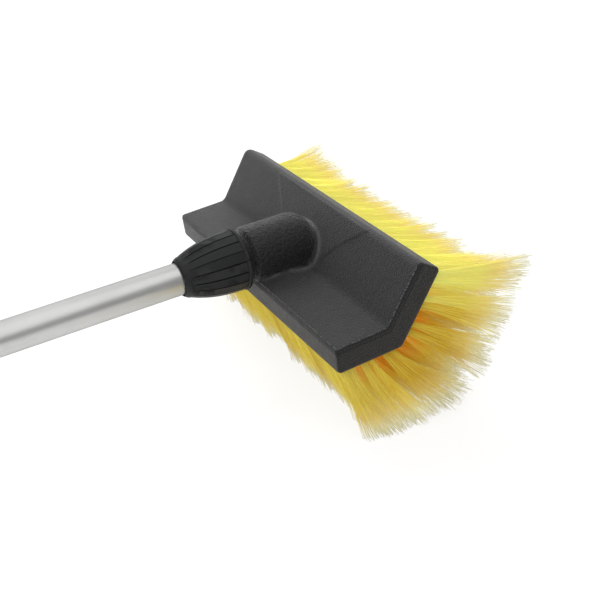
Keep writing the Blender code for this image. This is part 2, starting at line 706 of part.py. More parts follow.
def make_bristles(name, wing, index, block_frame, chance):
    """A strip of the block's skin with its strands fused to it."""
    shape = strip_sheet(wing, index)
    layer = shape.faces.layers.int.new("strand")
    cells = shape.faces[:]
    for number, cell in enumerate(cells):
        cell[layer] = number + 1
    bmesh.ops.inset_individual(shape, faces=cells, thickness=STRAND_INSET,
                               use_even_offset=True)
    for face in shape.faces:
        if face not in cells:
            face[layer] = 0
    merged = {}
    for number, cell in enumerate(cells):
        corners = sorted(cell.verts, key=lambda vert: vert.co.x)
        pair = corners[:2] if number % 2 else corners[2:]
        pair[0].co = (pair[0].co + pair[1].co) / 2
        merged[pair[1]] = pair[0]
    bmesh.ops.weld_verts(shape, targetmap=merged)
    close_strip(shape, wing)
    roots = [face for face in shape.faces if face[layer] > 0]
    strands = {face[layer]: strand_path(face, wing, chance) for face in roots}
    for face in bmesh.ops.extrude_discrete_faces(shape, faces=roots)["faces"]:
        centre, reach = strands[face[layer]]
        for vert in face.verts:
            vert.co = centre + reach + (vert.co - centre) * STRAND_TIP_SHARE
        trim_on_floor(face, centre + reach, reach)
    bmesh.ops.recalc_face_normals(shape, faces=shape.faces)
    return piece(name, shape, block_frame, "bristle_yellow")


def strand_path(face, wing, chance):
    """A strand's root centre and its reach to the tip."""
    centre = face.calc_center_median()
    along = (Vector(centre.yz) - OUTER_BEND).dot(wing.direction)
    length = BRISTLE_LENGTH + chance.uniform(-BRISTLE_RAGGED, BRISTLE_RAGGED)
    reach = strand_reach(centre.x, fan_share(wing, along), length)
    wander = Vector([chance.uniform(-STRAND_WANDER, STRAND_WANDER) for _ in range(3)])
    return centre, reach + wander


def trim_on_floor(face, tip, reach):
    """Cut a strand flat where its tip would touch the floor."""
    if (tip - FLOOR_POINT).dot(FLOOR_UP) > TRIM_DEPTH:
        return
    for vert in face.verts:
        height = (vert.co - FLOOR_POINT).dot(FLOOR_UP)
        vert.co -= reach * (height / reach.dot(FLOOR_UP))


def make_tube(handle_frame):
    """The drawn aluminium tube."""
    outline = [(TUBE_BORE, TUBE_START), (TUBE_RADIUS, TUBE_START),
               (TUBE_RADIUS, TUBE_END), (TUBE_BORE, TUBE_END)]
    return piece("handle_tube", turned(outline, TURNED_SEGMENTS), handle_frame,
                 "tube_aluminium")


def make_socket_seal(handle_frame):
    """The rubber ring that seals the tube in the socket."""
    start = SEAL_SHOULDER + GAP
    outline = ring_outline(TUBE_RADIUS + GAP, SEAL_POCKET_RADIUS - GAP, start,
                           start + SEAL_LENGTH, SEAL_ROUND)
    return piece("socket_seal", turned(outline, VALVE_SEGMENTS), handle_frame, "black_rubber")


def make_collet(handle_frame):
    """The split collet that the slip ring squeezes on to the tube."""
    bore = TUBE_RADIUS + GAP
    sleeve = SEAL_POCKET_RADIUS - GAP
    outline = [(bore, COLLET_START), (sleeve, COLLET_START), (sleeve, COLLET_SHOULDER),
               (COLLET_HEAD_RADIUS, COLLET_SHOULDER), (COLLET_HEAD_RADIUS, COLLET_TAPER),
               (COLLET_TIP_RADIUS, COLLET_END), (bore, COLLET_END)]
    collet = piece("clamp_collet", turned(outline, TURNED_SEGMENTS), handle_frame,
                   "collet_plastic")
    reach = COLLET_HEAD_RADIUS + OVERRUN
    half = COLLET_SLOT_WIDTH / 2
    slots = []
    for index in range(COLLET_SLOTS):
        slot = box((-reach, -half, COLLET_START + COLLET_SLOT_START),
                   (reach, half, COLLET_END + OVERRUN))
        slots.append(piece(f"collet_slot_{index + 1}", slot, handle_frame, "collet_plastic"))
        slots[-1].rotation_euler = (0, 0, math.pi * (index + 1 / 2) / COLLET_SLOTS)
    shape_with(collet, slots, "DIFFERENCE")
    return collet


def taper_radius(station):
    """The collet's outside radius on its taper or beyond it."""
    share = (station - COLLET_TAPER) / (COLLET_END - COLLET_TAPER)
    return COLLET_HEAD_RADIUS + (COLLET_TIP_RADIUS - COLLET_HEAD_RADIUS) * share


def make_slip_ring(handle_frame):
    """The ring that slides on the collet's taper when the nut is turned."""
    first = COLLET_TAPER + GAP
    last = first + SLIP_RING_LENGTH
    outline = [(taper_radius(first) + RUNNING_GAP, first),
               (SLIP_RING_RADIUS - SLIP_RING_CHAMFER, first),
               (SLIP_RING_RADIUS, first + SLIP_RING_CHAMFER),
               (SLIP_RING_RADIUS, last),
               (taper_radius(last) + RUNNING_GAP, last)]
    return piece("slip_ring", turned(outline, TURNED_SEGMENTS), handle_frame, "collet_plastic")


def facet_corners(facet, radius, groove):
    """The corners (angle, radius) of one flat facet and the groove before it."""
    pitch = 2 * math.pi / NUT_FACETS
    start = facet * pitch
    if groove is None:
        return [(start + pitch * corner / NUT_FACET_CORNERS, radius)
                for corner in range(NUT_FACET_CORNERS)]
    lip = NUT_GROOVE_WIDTH / radius
    return [(start - lip / 4, radius - groove), (start + lip / 4, radius - groove),
            (start + lip / 2, radius), (start + pitch - lip / 2, radius)]


def nut_ring(shape, radius, station, groove):
    """One ring of the nut: grooved facets, or evenly round where the groove is None."""
    ring = []
    for facet in range(NUT_FACETS):
        for angle, reach in facet_corners(facet, radius, groove):
            ring.append(shape.verts.new((reach * math.cos(angle), reach * math.sin(angle),
                                         station)))
    return ring


def nut_levels():
    """The nut's rings (radius, station, groove) outside from flange to mouth, then inside."""
    flange_end = NUT_START + NUT_FLANGE_LENGTH
    ring_start = NUT_END - NUT_RING_LENGTH
    edge = NUT_FLANGE_RADIUS - NUT_FLANGE_ROUND
    levels = [
        (edge, NUT_START, None),
        (NUT_FLANGE_RADIUS, NUT_START + NUT_FLANGE_ROUND, None),
        (NUT_FLANGE_RADIUS, flange_end - NUT_FLANGE_ROUND, None),
        (NUT_WAIST_RADIUS, flange_end, None),
    ]
    first = flange_end + NUT_GROOVE_DEPTH
    for step in range(NUT_BELL_STATIONS + 1):
        share = step / NUT_BELL_STATIONS
        drop = (NUT_WAIST_RADIUS - NUT_RING_RADIUS) * share ** NUT_BELL_POWER
        groove = 0 if step == NUT_BELL_STATIONS else NUT_GROOVE_DEPTH
        levels.append((NUT_WAIST_RADIUS - drop, first + (ring_start - first) * share, groove))
    bore = TUBE_RADIUS + RUNNING_GAP
    levels += [
        (NUT_MOUTH_RADIUS, NUT_END - NUT_MOUTH_ROUND, None),
        (NUT_MOUTH_RADIUS - NUT_MOUTH_ROUND, NUT_END, None),
        (bore, NUT_END, None),
        (bore, NUT_SEAT, None),
        (NUT_CHAMBER_RADIUS, NUT_SEAT, None),
        (NUT_CHAMBER_RADIUS, NUT_START, None),
    ]
    return levels


def make_collar_nut(nut_frame):
    """The bell-shaped collar nut, hollow for the stub, the slip ring and the tube."""
    shape = bmesh.new()
    rings = [nut_ring(shape, radius, station - NUT_START, groove)
             for radius, station, groove in nut_levels()]
    for near, far in zip(rings, rings[1:] + rings[:1]):
        for i in range(len(near)):
            shape.faces.new((near[i - 1], near[i], far[i], far[i - 1]))
    bmesh.ops.recalc_face_normals(shape, faces=shape.faces)
    return piece("collar_nut", shape, nut_frame, "nut_plastic")


def make_grip(valve_frame):
    """The soft sleeve, with shallow ridges between two plain bands."""
    bore = TUBE_RADIUS + GAP
    outline = [(bore, -GRIP_LENGTH), (GRIP_RADIUS - GRIP_WAIST, -GRIP_LENGTH),
               (GRIP_RADIUS, -GRIP_LENGTH + GRIP_WAIST)]
    first = -GRIP_LENGTH + GRIP_END_BAND
    pitch = (GRIP_LENGTH - 2 * GRIP_END_BAND) / GRIP_RIDGES
    for ridge in range(GRIP_RIDGES):
        start = first + ridge * pitch
        outline.append((GRIP_RADIUS, start))
        outline.append((GRIP_RADIUS - GRIP_WAIST, start + pitch / 2))
    outline.append((GRIP_RADIUS, -GRIP_END_BAND))
    outline.append((GRIP_RADIUS, -GRIP_WAIST))
    outline.append((GRIP_RADIUS - GRIP_WAIST, 0))
    outline.append((bore, 0))
    return piece("grip_sleeve", turned(outline, GRIP_SEGMENTS), valve_frame, "grip_rubber")


def make_valve_body(valve_frame):
    """The valve's housing: spigot in the tube, ball chamber, and boss for the stem."""
    spigot = TUBE_BORE - GAP
    groove_end = -SPIGOT_GROOVE_START + SPIGOT_GROOVE_WIDTH
    outline = [
        (VALVE_BORE_RADIUS, -SPIGOT_LENGTH),
        (spigot, -SPIGOT_LENGTH),
        (spigot, -SPIGOT_GROOVE_START),
        (spigot - SPIGOT_GROOVE_DEPTH, -SPIGOT_GROOVE_START),
        (spigot - SPIGOT_GROOVE_DEPTH, groove_end),
        (spigot, groove_end),
        (spigot, GAP),
        (VALVE_SHOULDER_RADIUS, GAP),
        (VALVE_SHOULDER_RADIUS, VALVE_SHOULDER_LENGTH),
        (VALVE_RADIUS, VALVE_SHOULDER_LENGTH + VALVE_CHAMFER),
        (VALVE_RADIUS, VALVE_LENGTH - VALVE_CHAMFER),
        (VALVE_RADIUS - VALVE_CHAMFER, VALVE_LENGTH),
        (CHAMBER_RADIUS, VALVE_LENGTH),
        (CHAMBER_RADIUS, CHAMBER_FLOOR),
        (VALVE_BORE_RADIUS, CHAMBER_FLOOR),
    ]
    body = piece("valve_body", turned(outline, VALVE_SEGMENTS), valve_frame, "valve_plastic")
    stem_line = stem_frame_turn()
    boss_outline = [(0, STEM_BOSS_FOOT), (STEM_BOSS_RADIUS, STEM_BOSS_FOOT),
                    (STEM_BOSS_RADIUS, STEM_BOSS_TOP), (0, STEM_BOSS_TOP)]
    boss = piece("stem_boss_shape", turned(boss_outline, VALVE_SEGMENTS), valve_frame,
                 "valve_plastic")
    bore = STEM_RADIUS + GAP
    wide = STEM_FLANGE_RADIUS + GAP
    bottom = CHAMBER_RADIUS / 2
    cut_outline = [(0, bottom), (wide, bottom), (wide, STEM_POCKET_TOP),
                   (bore, STEM_POCKET_TOP), (bore, STEM_BOSS_TOP + OVERRUN),
                   (0, STEM_BOSS_TOP + OVERRUN)]
    cut = piece("stem_bore_cutter", turned(cut_outline, SMALL_SEGMENTS), valve_frame,
                "valve_plastic")
    for tool in (boss, cut):
        tool.location = (0, 0, BALL_STATION)
        tool.rotation_euler = stem_line
    shape_with(body, [boss], "UNION")
    shape_with(body, [cut], "DIFFERENCE")
    return body


def stem_frame_turn():
    """The rotation that stands a turned piece up on the handle, its Z along the handle's Y."""
    return (-math.pi / 2, 0, 0)


def seat_outline(sign):
    """A ball seat's outline; sign -1 is the tube's side of the ball, 1 the hose's."""
    sphere = BALL_RADIUS + GAP
    outer = CHAMBER_RADIUS - GAP
    back = BALL_STATION - (CHAMBER_FLOOR + GAP)
    inner_angle = math.asin(VALVE_BORE_RADIUS / sphere)
    outline = [(VALVE_BORE_RADIUS, back), (outer, back),
               (outer, sphere * math.cos(SEAT_EDGE_ANGLE))]
    for step in range(SEAT_STEPS + 1):
        angle = SEAT_EDGE_ANGLE + (inner_angle - SEAT_EDGE_ANGLE) * step / SEAT_STEPS
        outline.append((sphere * math.sin(angle), sphere * math.cos(angle)))
    return [(radius, BALL_STATION + sign * height) for radius, height in outline]


def make_valve_seats(valve_frame):
    """The two plastic rings that the ball turns between."""
    for name, sign in (("ball_seat_front", -1), ("ball_seat_rear", 1)):
        piece(name, turned(seat_outline(sign), VALVE_SEGMENTS), valve_frame, "seat_plastic")


def make_ball(stem_frame):
    """The ball with its water bore and the slot for the stem's tongue."""
    shape = bmesh.new()
    bmesh.ops.create_uvsphere(shape, u_segments=VALVE_SEGMENTS, v_segments=HOLE_SEGMENTS,
                              radius=BALL_RADIUS)
    ball = piece("valve_ball", shape, stem_frame, "valve_brass")
    reach = BALL_RADIUS + OVERRUN
    bore = drill("ball_bore_cutter", (0, -reach, 0), (0, reach, 0), BALL_BORE_RADIUS,
                 stem_frame, SMALL_SEGMENTS)
    half = BALL_SLOT_WIDTH / 2
    slot = piece("ball_slot_cutter", box((-half, -reach, BALL_SLOT_FLOOR), (half, reach, reach)),
                 stem_frame, "valve_brass")
    shape_with(ball, [bore, slot], "DIFFERENCE")
    return ball


def make_stem(stem_frame):
    """The stem: tongue in the ball, flange that holds it in, neck for its ring."""
    neck_end = STEM_NECK_START + STEM_NECK_WIDTH
    hole = SCREW_SHANK_RADIUS + GAP
    hole_floor = SCREW_SHANK_END - GAP
    outline = [
        (0, STEM_FLANGE_LOW),
        (STEM_FLANGE_RADIUS, STEM_FLANGE_LOW),
        (STEM_FLANGE_RADIUS, STEM_FLANGE_HIGH),
        (STEM_RADIUS, STEM_FLANGE_HIGH),
        (STEM_RADIUS, STEM_NECK_START),
        (STEM_NECK_RADIUS, STEM_NECK_START),
        (STEM_NECK_RADIUS, neck_end),
        (STEM_RADIUS, neck_end),
        (STEM_RADIUS, STEM_TOP),
        (hole, STEM_TOP),
        (hole, hole_floor),
        (0, hole_floor),
    ]
    stem = piece("valve_stem", turned(outline, SMALL_SEGMENTS), stem_frame, "valve_brass")
    half = BALL_SLOT_WIDTH / 2 - GAP
    reach = TONGUE_LENGTH / 2
    root = STEM_FLANGE_LOW + (STEM_FLANGE_HIGH - STEM_FLANGE_LOW) * TONGUE_ROOT_SHARE
    tongue = piece("tongue_shape", box((-half, -reach, BALL_SLOT_FLOOR + GAP),
                                       (half, reach, root)), stem_frame, "valve_brass")
    shape_with(stem, [tongue], "UNION")
    return stem


def make_stem_ring(stem_frame):
    """The rubber ring in the stem's neck."""
    outline = ring_outline(STEM_NECK_RADIUS + GAP / 2, STEM_RADIUS + GAP / 2,
                           STEM_NECK_START + GAP, STEM_NECK_START + STEM_NECK_WIDTH - GAP,
                           (STEM_RADIUS - STEM_NECK_RADIUS) / 3)
    return piece("stem_ring", turned(outline, SMALL_SEGMENTS), stem_frame, "black_rubber")


def make_lever(stem_frame):
    """The lever: a round hub on the stem and an arm that widens and lifts to its tip."""
    bore = STEM_RADIUS + GAP
    screw_hole = SCREW_SHANK_RADIUS + GAP
    outline = [
        (bore, LEVER_BASE),
        (LEVER_HUB_RADIUS, LEVER_BASE),
        (LEVER_HUB_RADIUS, LEVER_HUB_TOP - LEVER_ROUND),
        (LEVER_HUB_RADIUS - LEVER_ROUND, LEVER_HUB_TOP),
        (screw_hole, LEVER_HUB_TOP),
        (screw_hole, STEM_TOP + GAP),
        (bore, STEM_TOP + GAP),
    ]
    lever = piece("valve_lever", turned(outline, VALVE_SEGMENTS), stem_frame, "lever_yellow")
    low = LEVER_HUB_TOP - LEVER_ARM_THICKNESS - LEVER_ROUND
    start = (LEVER_HUB_RADIUS + bore) / 2
    straight = LEVER_ARM_LENGTH - LEVER_TIP_WIDTH / 2
    sections = []
    for step in range(LEVER_TIP_STEPS + 1):
        share = step / LEVER_TIP_STEPS
        reach = start + (straight - start) * share
        half = (LEVER_ARM_WIDTH + (LEVER_TIP_WIDTH - LEVER_ARM_WIDTH) * share) / 2
        sections.append((reach, half, LEVER_TIP_LIFT * share ** 2))
    for step in range(1, LEVER_TIP_STEPS):
        angle = math.pi / 2 * step / LEVER_TIP_STEPS
        reach = straight + LEVER_TIP_WIDTH / 2 * math.sin(angle)
        sections.append((reach, LEVER_TIP_WIDTH / 2 * math.cos(angle), LEVER_TIP_LIFT))
    loops = []
    for reach, half, lift in sections:
        bottom = low + lift
        top = bottom + LEVER_ARM_THICKNESS
        loops.append([(-half, reach, bottom), (half, reach, bottom),
                      (half, reach, top), (-half, reach, top)])
    arm = piece("lever_arm_shape", skinned(loops), stem_frame, "lever_yellow")
    shape_with(lever, [arm], "UNION")
    return lever


def make_lever_screw(stem_frame):
    """The slotted screw that holds the lever on the stem."""
    seat = LEVER_HUB_TOP + GAP
    top = seat + SCREW_HEAD_HEIGHT
    outline = [(0, SCREW_SHANK_END), (SCREW_SHANK_RADIUS, SCREW_SHANK_END),
               (SCREW_SHANK_RADIUS, seat),
               (SCREW_HEAD_RADIUS, seat), (SCREW_HEAD_RADIUS, top - SCREW_SLOT_DEPTH / 2),
               (SCREW_HEAD_RADIUS - SCREW_SLOT_DEPTH / 2, top), (0, top)]
    screw = piece("lever_screw", turned(outline, SMALL_SEGMENTS), stem_frame, "screw_steel")
    half = SCREW_SLOT_WIDTH / 2
    reach = SCREW_HEAD_RADIUS + OVERRUN
    slot = piece("screw_slot_cutter", box((-reach, -half, top - SCREW_SLOT_DEPTH),
                                          (reach, half, top + OVERRUN)),
                 stem_frame, "screw_steel")
    shape_with(screw, [slot], "DIFFERENCE")
    return screw


def connector_stations():
    """Where the hose connector's flange, stem, catch and nose begin, and its end."""
    flange = VALVE_LENGTH + GAP
    stem = flange + CONNECTOR_FLANGE_LENGTH
    catch = stem + CONNECTOR_STEM_LENGTH
    nose = catch + CONNECTOR_CATCH_LENGTH
    return flange, stem, catch, nose, nose + CONNECTOR_NOSE_LENGTH


def make_connector(valve_frame):
    """The hose connector: it closes the ball chamber and takes a snap-on hose coupling."""
    flange, stem, catch, nose, end = connector_stations()
    groove = nose + CONNECTOR_GROOVE_START
    groove_end = groove + CONNECTOR_GROOVE_WIDTH
    groove_radius = CONNECTOR_NOSE_RADIUS - CONNECTOR_GROOVE_DEPTH
    outline = [
        (CONNECTOR_BORE_RADIUS, CHAMBER_END),
        (CONNECTOR_NECK_RADIUS, CHAMBER_END),
        (CONNECTOR_NECK_RADIUS, flange),
        (CONNECTOR_FLANGE_RADIUS, flange),
        (CONNECTOR_FLANGE_RADIUS, stem),
        (CONNECTOR_STEM_RADIUS, stem),
        (CONNECTOR_STEM_RADIUS, catch - CONNECTOR_CATCH_RAMP),
        (CONNECTOR_CATCH_RADIUS, catch),
        (CONNECTOR_CATCH_RADIUS, nose - CONNECTOR_CATCH_RAMP),
        (CONNECTOR_NOSE_RADIUS, nose),
        (CONNECTOR_NOSE_RADIUS, groove),
        (groove_radius, groove),
        (groove_radius, groove_end),
        (CONNECTOR_NOSE_RADIUS, groove_end),
        (CONNECTOR_NOSE_RADIUS, end - CONNECTOR_NOSE_CHAMFER),
        (CONNECTOR_NOSE_RADIUS - CONNECTOR_NOSE_CHAMFER, end),
        (CONNECTOR_BORE_RADIUS, end),
    ]
    return piece("hose_connector", turned(outline, VALVE_SEGMENTS), valve_frame,
                 "valve_plastic")


def make_rings(valve_frame):
    """The rubber rings on the spigot and on the connector's nose."""
    inner = TUBE_BORE - GAP - SPIGOT_GROOVE_DEPTH + GAP / 2
    start = -SPIGOT_GROOVE_START + GAP
    end = -SPIGOT_GROOVE_START + SPIGOT_GROOVE_WIDTH - GAP
    outline = ring_outline(inner, TUBE_BORE - GAP / 2, start, end, (end - start) / 3)
    piece("tube_ring", turned(outline, VALVE_SEGMENTS), valve_frame, "black_rubber")
    flange, stem, catch, nose, tip = connector_stations()
    start = nose + CONNECTOR_GROOVE_START + GAP
    end = nose + CONNECTOR_GROOVE_START + CONNECTOR_GROOVE_WIDTH - GAP
    inner = CONNECTOR_NOSE_RADIUS - CONNECTOR_GROOVE_DEPTH + GAP / 2
    outline = ring_outline(inner, CONNECTOR_NOSE_RADIUS + GAP, start, end,
                           (end - start) / 3)
    piece("hose_ring", turned(outline, VALVE_SEGMENTS), valve_frame, "black_rubber")


def settle(root):
    """Put the middle of the broom's underside at the origin."""
    bpy.context.view_layer.update()
    graph = bpy.context.evaluated_depsgraph_get()
    spots = []
    for thing in bpy.data.objects:
        if thing.type == "MESH" and not thing.hide_render:
            shown = thing.evaluated_get(graph)
            spots += [shown.matrix_world @ vert.co for vert in shown.data.vertices]
    ends = [(min(spot[axis] for spot in spots), max(spot[axis] for spot in spots))
            for axis in range(3)]
    root.location = (0, -sum(ends[1]) / 2, -ends[2][0])
    bpy.context.view_layer.update()


def main():
    clear_scene()
    root = empty("rest_frame", None, (0, 0, 0), (REST_TILT, 0, 0))
    handle_frame = empty("handle_frame", root, HANDLE_START,
                         (math.pi / 2 - HANDLE_RISE, 0, 0))
    nut_frame = empty("nut_frame", handle_frame, (0, 0, NUT_START), (0, 0, 0))
    valve_frame = empty("valve_frame", handle_frame, (0, 0, TUBE_END), (0, 0, 0))
    stem_frame = empty("stem_frame", valve_frame, (0, 0, BALL_STATION), stem_frame_turn())
    make_block(root, handle_frame)
    make_spray_bar(root)
    chance = random.Random(BRISTLE_SEED)
    for label, wing in (("lower", LOWER), ("upper", UPPER)):
        for index in range(STRIPS_PER_WING):
            make_bristles(f"{label}_bristles_{index + 1}", wing, index, root, chance)
    make_socket_seal(handle_frame)
    make_collet(handle_frame)
    make_slip_ring(handle_frame)
    make_collar_nut(nut_frame)
    make_tube(handle_frame)
    make_grip(valve_frame)
    make_valve_body(valve_frame)
    make_valve_seats(valve_frame)
    make_ball(stem_frame)
    make_stem(stem_frame)
    make_stem_ring(stem_frame)
    make_lever(stem_frame)
    make_lever_screw(stem_frame)
    make_connector(valve_frame)
    make_rings(valve_frame)
    settle(root)


main()
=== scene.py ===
"""A wash broom for a studio picture: brush head, collar clamp, pole, valve and bristles.

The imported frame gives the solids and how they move; every piece that shows is modelled here.
Lengths are metres. The block is drawn in a frame of its own, with the inner bend of its two
wings as the X axis; turned pieces are drawn about Z, which then lies along the handle.
"""
import json
import math

import bmesh
import bpy
import numpy as np
from bpy.props import FloatProperty, FloatVectorProperty, IntProperty, PointerProperty
from bpy.types import Operator, Panel, PropertyGroup
from mathutils import Matrix, Vector


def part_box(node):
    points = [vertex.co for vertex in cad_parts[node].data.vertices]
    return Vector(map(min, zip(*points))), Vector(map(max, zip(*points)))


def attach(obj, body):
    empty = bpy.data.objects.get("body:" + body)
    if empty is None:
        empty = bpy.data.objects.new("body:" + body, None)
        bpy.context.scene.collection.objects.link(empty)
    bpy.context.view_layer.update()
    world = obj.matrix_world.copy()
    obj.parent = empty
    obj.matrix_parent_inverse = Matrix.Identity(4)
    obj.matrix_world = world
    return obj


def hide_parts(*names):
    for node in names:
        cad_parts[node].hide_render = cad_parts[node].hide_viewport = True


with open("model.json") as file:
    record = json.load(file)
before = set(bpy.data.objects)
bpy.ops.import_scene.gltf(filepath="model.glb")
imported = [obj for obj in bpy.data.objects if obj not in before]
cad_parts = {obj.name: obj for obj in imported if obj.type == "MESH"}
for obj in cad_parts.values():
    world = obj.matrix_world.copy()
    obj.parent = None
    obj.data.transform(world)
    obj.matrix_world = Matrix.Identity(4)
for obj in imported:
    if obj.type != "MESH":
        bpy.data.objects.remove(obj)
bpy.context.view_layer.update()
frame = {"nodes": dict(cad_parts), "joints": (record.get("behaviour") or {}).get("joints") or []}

bl_info = {
    "name": "Wash Broom",
    "version": (1, 0, 0),
    "blender": (4, 5, 0),
    "location": "View3D > Sidebar > Broom",
    "description": "Models the visible pieces of a wash broom around its packed frame",
    "category": "Object",
}

# The handle line and its stations, from the frame's joints
JOINTS = {joint["name"]: joint for joint in frame["joints"]}
ALONG = Vector(JOINTS["pole_turn"]["axis"]).normalized()
HANDLE_UP = Vector(JOINTS["lever_turn"]["axis"]).normalized()
ACROSS = Vector((1, 0, 0))
HANDLE_START = Vector(JOINTS["pole_turn"]["pos_m"])
NUT_PLACE = Vector(JOINTS["nut_turn"]["pos_m"])
STEM_PLACE = Vector(JOINTS["lever_turn"]["pos_m"])
AXIS_HEIGHT = 0.013
HANDLE_RISE = math.radians(2.25)
WING_ANGLE = math.radians(126.2)

TUBE_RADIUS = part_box("handle_tube")[1].x
NUT_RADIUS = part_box("collar_nut")[1].x
GRIP_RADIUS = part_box("grip_sleeve")[1].x
VALVE_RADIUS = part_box("valve_body")[1].x
FLANGE_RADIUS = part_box("hose_connector")[1].x
BLOCK_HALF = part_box("brush_block")[1].x
BAR_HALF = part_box("spray_bar")[1].x

TUBE_START = 0.0020
TUBE_END = 1.0020
TUBE_BORE = 0.0108
BLOCK_THICKNESS = 0.020
GAP = 0.0003
OVERRUN = 0.002
TINY = 0.00001
NEARLY = 0.98

# Corners round turned pieces
TUBE_SEGMENTS = 128
WIDE_SEGMENTS = 96
MIDDLE_SEGMENTS = 80
SMALL_SEGMENTS = 64

# Directions in the block's frame, and the sharp corner of its outer bend
LOWER_DIRECTION = Vector((0, -1, 0))
UPPER_DIRECTION = Vector((0, -math.cos(WING_ANGLE), math.sin(WING_ANGLE)))
LOWER_OUTWARD = Vector((0, 0, -1))
UPPER_OUTWARD = Vector((0, math.sin(WING_ANGLE), math.cos(WING_ANGLE)))
BEND_OUTWARD = (LOWER_OUTWARD + UPPER_OUTWARD).normalized()
BEND_ACROSS = Vector((0, -BEND_OUTWARD.z, BEND_OUTWARD.y))
OUTER_CORNER = BEND_OUTWARD * (BLOCK_THICKNESS / math.sin(WING_ANGLE / 2))


def place_matrix(across, up, along, origin):
    """A matrix that sends X, Y and Z to three directions at an origin."""
    matrix = Matrix.Identity(4)
    for column, direction in enumerate((across, up, along)):
        matrix.col[column][:3] = direction
    matrix.translation = origin
    return matrix


HANDLE_IN_BLOCK = (Matrix.Translation((0, 0, AXIS_HEIGHT))
                   @ Matrix.Rotation(math.pi / 2 - HANDLE_RISE, 4, "X"))
HANDLE_FRAME = place_matrix(ACROSS, HANDLE_UP, ALONG, HANDLE_START)
BLOCK_FRAME = HANDLE_FRAME @ HANDLE_IN_BLOCK.inverted()
NUT_FRAME = place_matrix(ACROSS, HANDLE_UP, ALONG, NUT_PLACE)
VALVE_FRAME = place_matrix(ACROSS, HANDLE_UP, ALONG, HANDLE_START + ALONG * TUBE_END)
STEM_FRAME = place_matrix(ACROSS, -ALONG, HANDLE_UP, STEM_PLACE)
UPPER_FACE = place_matrix(ACROSS, UPPER_DIRECTION, -UPPER_OUTWARD, (0, 0, 0))


# Sizes and colours that a user would change

def length(name, description, default):
    """A length property in metres."""
    return FloatProperty(name=name, description=description, default=default,
                         min=0.0, precision=4, unit="LENGTH", subtype="DISTANCE")


def count(name, description, default):
    """A whole-number property."""
    return IntProperty(name=name, description=description, default=default, min=1)


def colour(name, description, default):
    """A colour property."""
    return FloatVectorProperty(name=name, description=description, default=(*default, 1.0),
                               size=4, min=0.0, max=1.0, subtype="COLOR")


class BroomSizes(PropertyGroup):
    """The sizes of the broom's visible pieces."""

    block_length: length("Block length", "Length of the brush block", 2 * BLOCK_HALF)
    block_thickness: length("Block thickness", "Thickness of both wings",
                            BLOCK_THICKNESS)
    lower_wing: length("Lower wing", "Inner length of the lower wing", 0.0405)
    upper_wing: length("Upper wing", "Inner length of the upper wing", 0.0495)
    lip_round: length("Lip rounding", "Radius of the upper wing's lip", 0.006)
    edge_round: length("Edge rounding", "Radius of the block's long edges", 0.003)
    end_round: length("End rounding", "Radius round the block's ends", 0.0028)
    bend_round: length("Bend rounding", "Radius of the bend, inside and outside", 0.0048)
    boss_radius: length("Boss radius", "Radius of the handle boss", 0.0223)
    boss_rim: length("Boss rim", "Station of the boss's rim on the handle line", 0.0395)
    moulding_grain: length("Moulding cell", "Cell size of the blended moulding", 0.00098)
    nut_length: length("Nut length", "Length of the collar nut", 0.0488)
    nut_groove: length("Nut groove", "Depth of the nut's grooves", 0.0008)
    nut_facets: count("Nut facets", "Number of flat facets round the nut", 18)
    grip_length: length("Grip length", "Length of the soft grip", 0.185)
    grip_ridges: count("Grip ridges", "Number of hollows along the grip", 9)
    bristle_length: length("Bristle length", "Length of the bristles", 0.0655)
    bristle_radius: length("Bristle radius", "Radius of one filament", 0.00023)
    tuft_radius: length("Tuft radius", "Radius of a tuft at its root", 0.0021)
    tufts_long: count("Tufts along", "Tufts in one row along the block", 36)
    filaments: count("Filaments", "Filaments in one tuft", 78)


class BroomColours(PropertyGroup):
    """The colours of the broom's finishes."""

    block: colour("Block", "Moulded grey plastic of the block", (0.0115, 0.0115, 0.0120))
    boss: colour("Boss", "The smoother plastic of the boss", (0.0040, 0.0040, 0.0045))
    nut: colour("Nut", "Satin black plastic of the collar nut", (0.0065, 0.007, 0.0075))
    # Painted glow, given as emission: warm light between the tufts at their roots
    bristle_root_glow: colour("Bristle root", "Warm light between the tufts, at their roots",
                         (0.15, 0.034, 0.002))
    bristle_gold: colour("Bristle gold", "Filaments over their first third",
                         (0.90, 0.61, 0.055))
    bristle_yellow: colour("Bristle yellow", "Filaments over their middle",
                           (0.93, 0.81, 0.14))
    # Painted glow, given as emission: light through the bristles at the lip
    bristle_lit: colour("Bristle light", "Light that shines through the bristles at the lip",
                        (0.24, 0.32, 0.11))
    bristle_tip: colour("Bristle tip", "Frayed tips", (0.88, 0.84, 0.56))
    aluminium: colour("Aluminium", "Anodised tube", (0.66, 0.66, 0.65))
    rubber: colour("Rubber", "Seals and rings", (0.012, 0.012, 0.012))
    grip: colour("Grip", "Soft grip", (0.022, 0.022, 0.024))
    valve: colour("Valve", "Housing and hose connector", (0.026, 0.027, 0.029))
    lever: colour("Lever", "Valve lever", (0.80, 0.50, 0.04))
    clamp: colour("Clamp", "Collet and slip ring", (0.60, 0.60, 0.57))
    seat: colour("Seats", "Ball seats", (0.78, 0.78, 0.75))
    brass: colour("Brass", "Valve ball and stem", (0.72, 0.52, 0.24))
    steel: colour("Steel", "Lever screw", (0.55, 0.55, 0.56))
    spray: colour("Spray bar", "Spray bar plastic", (0.045, 0.046, 0.048))
    floor: colour("Floor", "Studio floor", (0.86, 0.86, 0.86))


# Hand tools: each wraps operators that act on the open piece

def deselect():
    """Leave edit mode and select nothing."""
    if bpy.context.object and bpy.context.object.mode != "OBJECT":
        bpy.ops.object.mode_set(mode="OBJECT")
    bpy.ops.object.select_all(action="DESELECT")


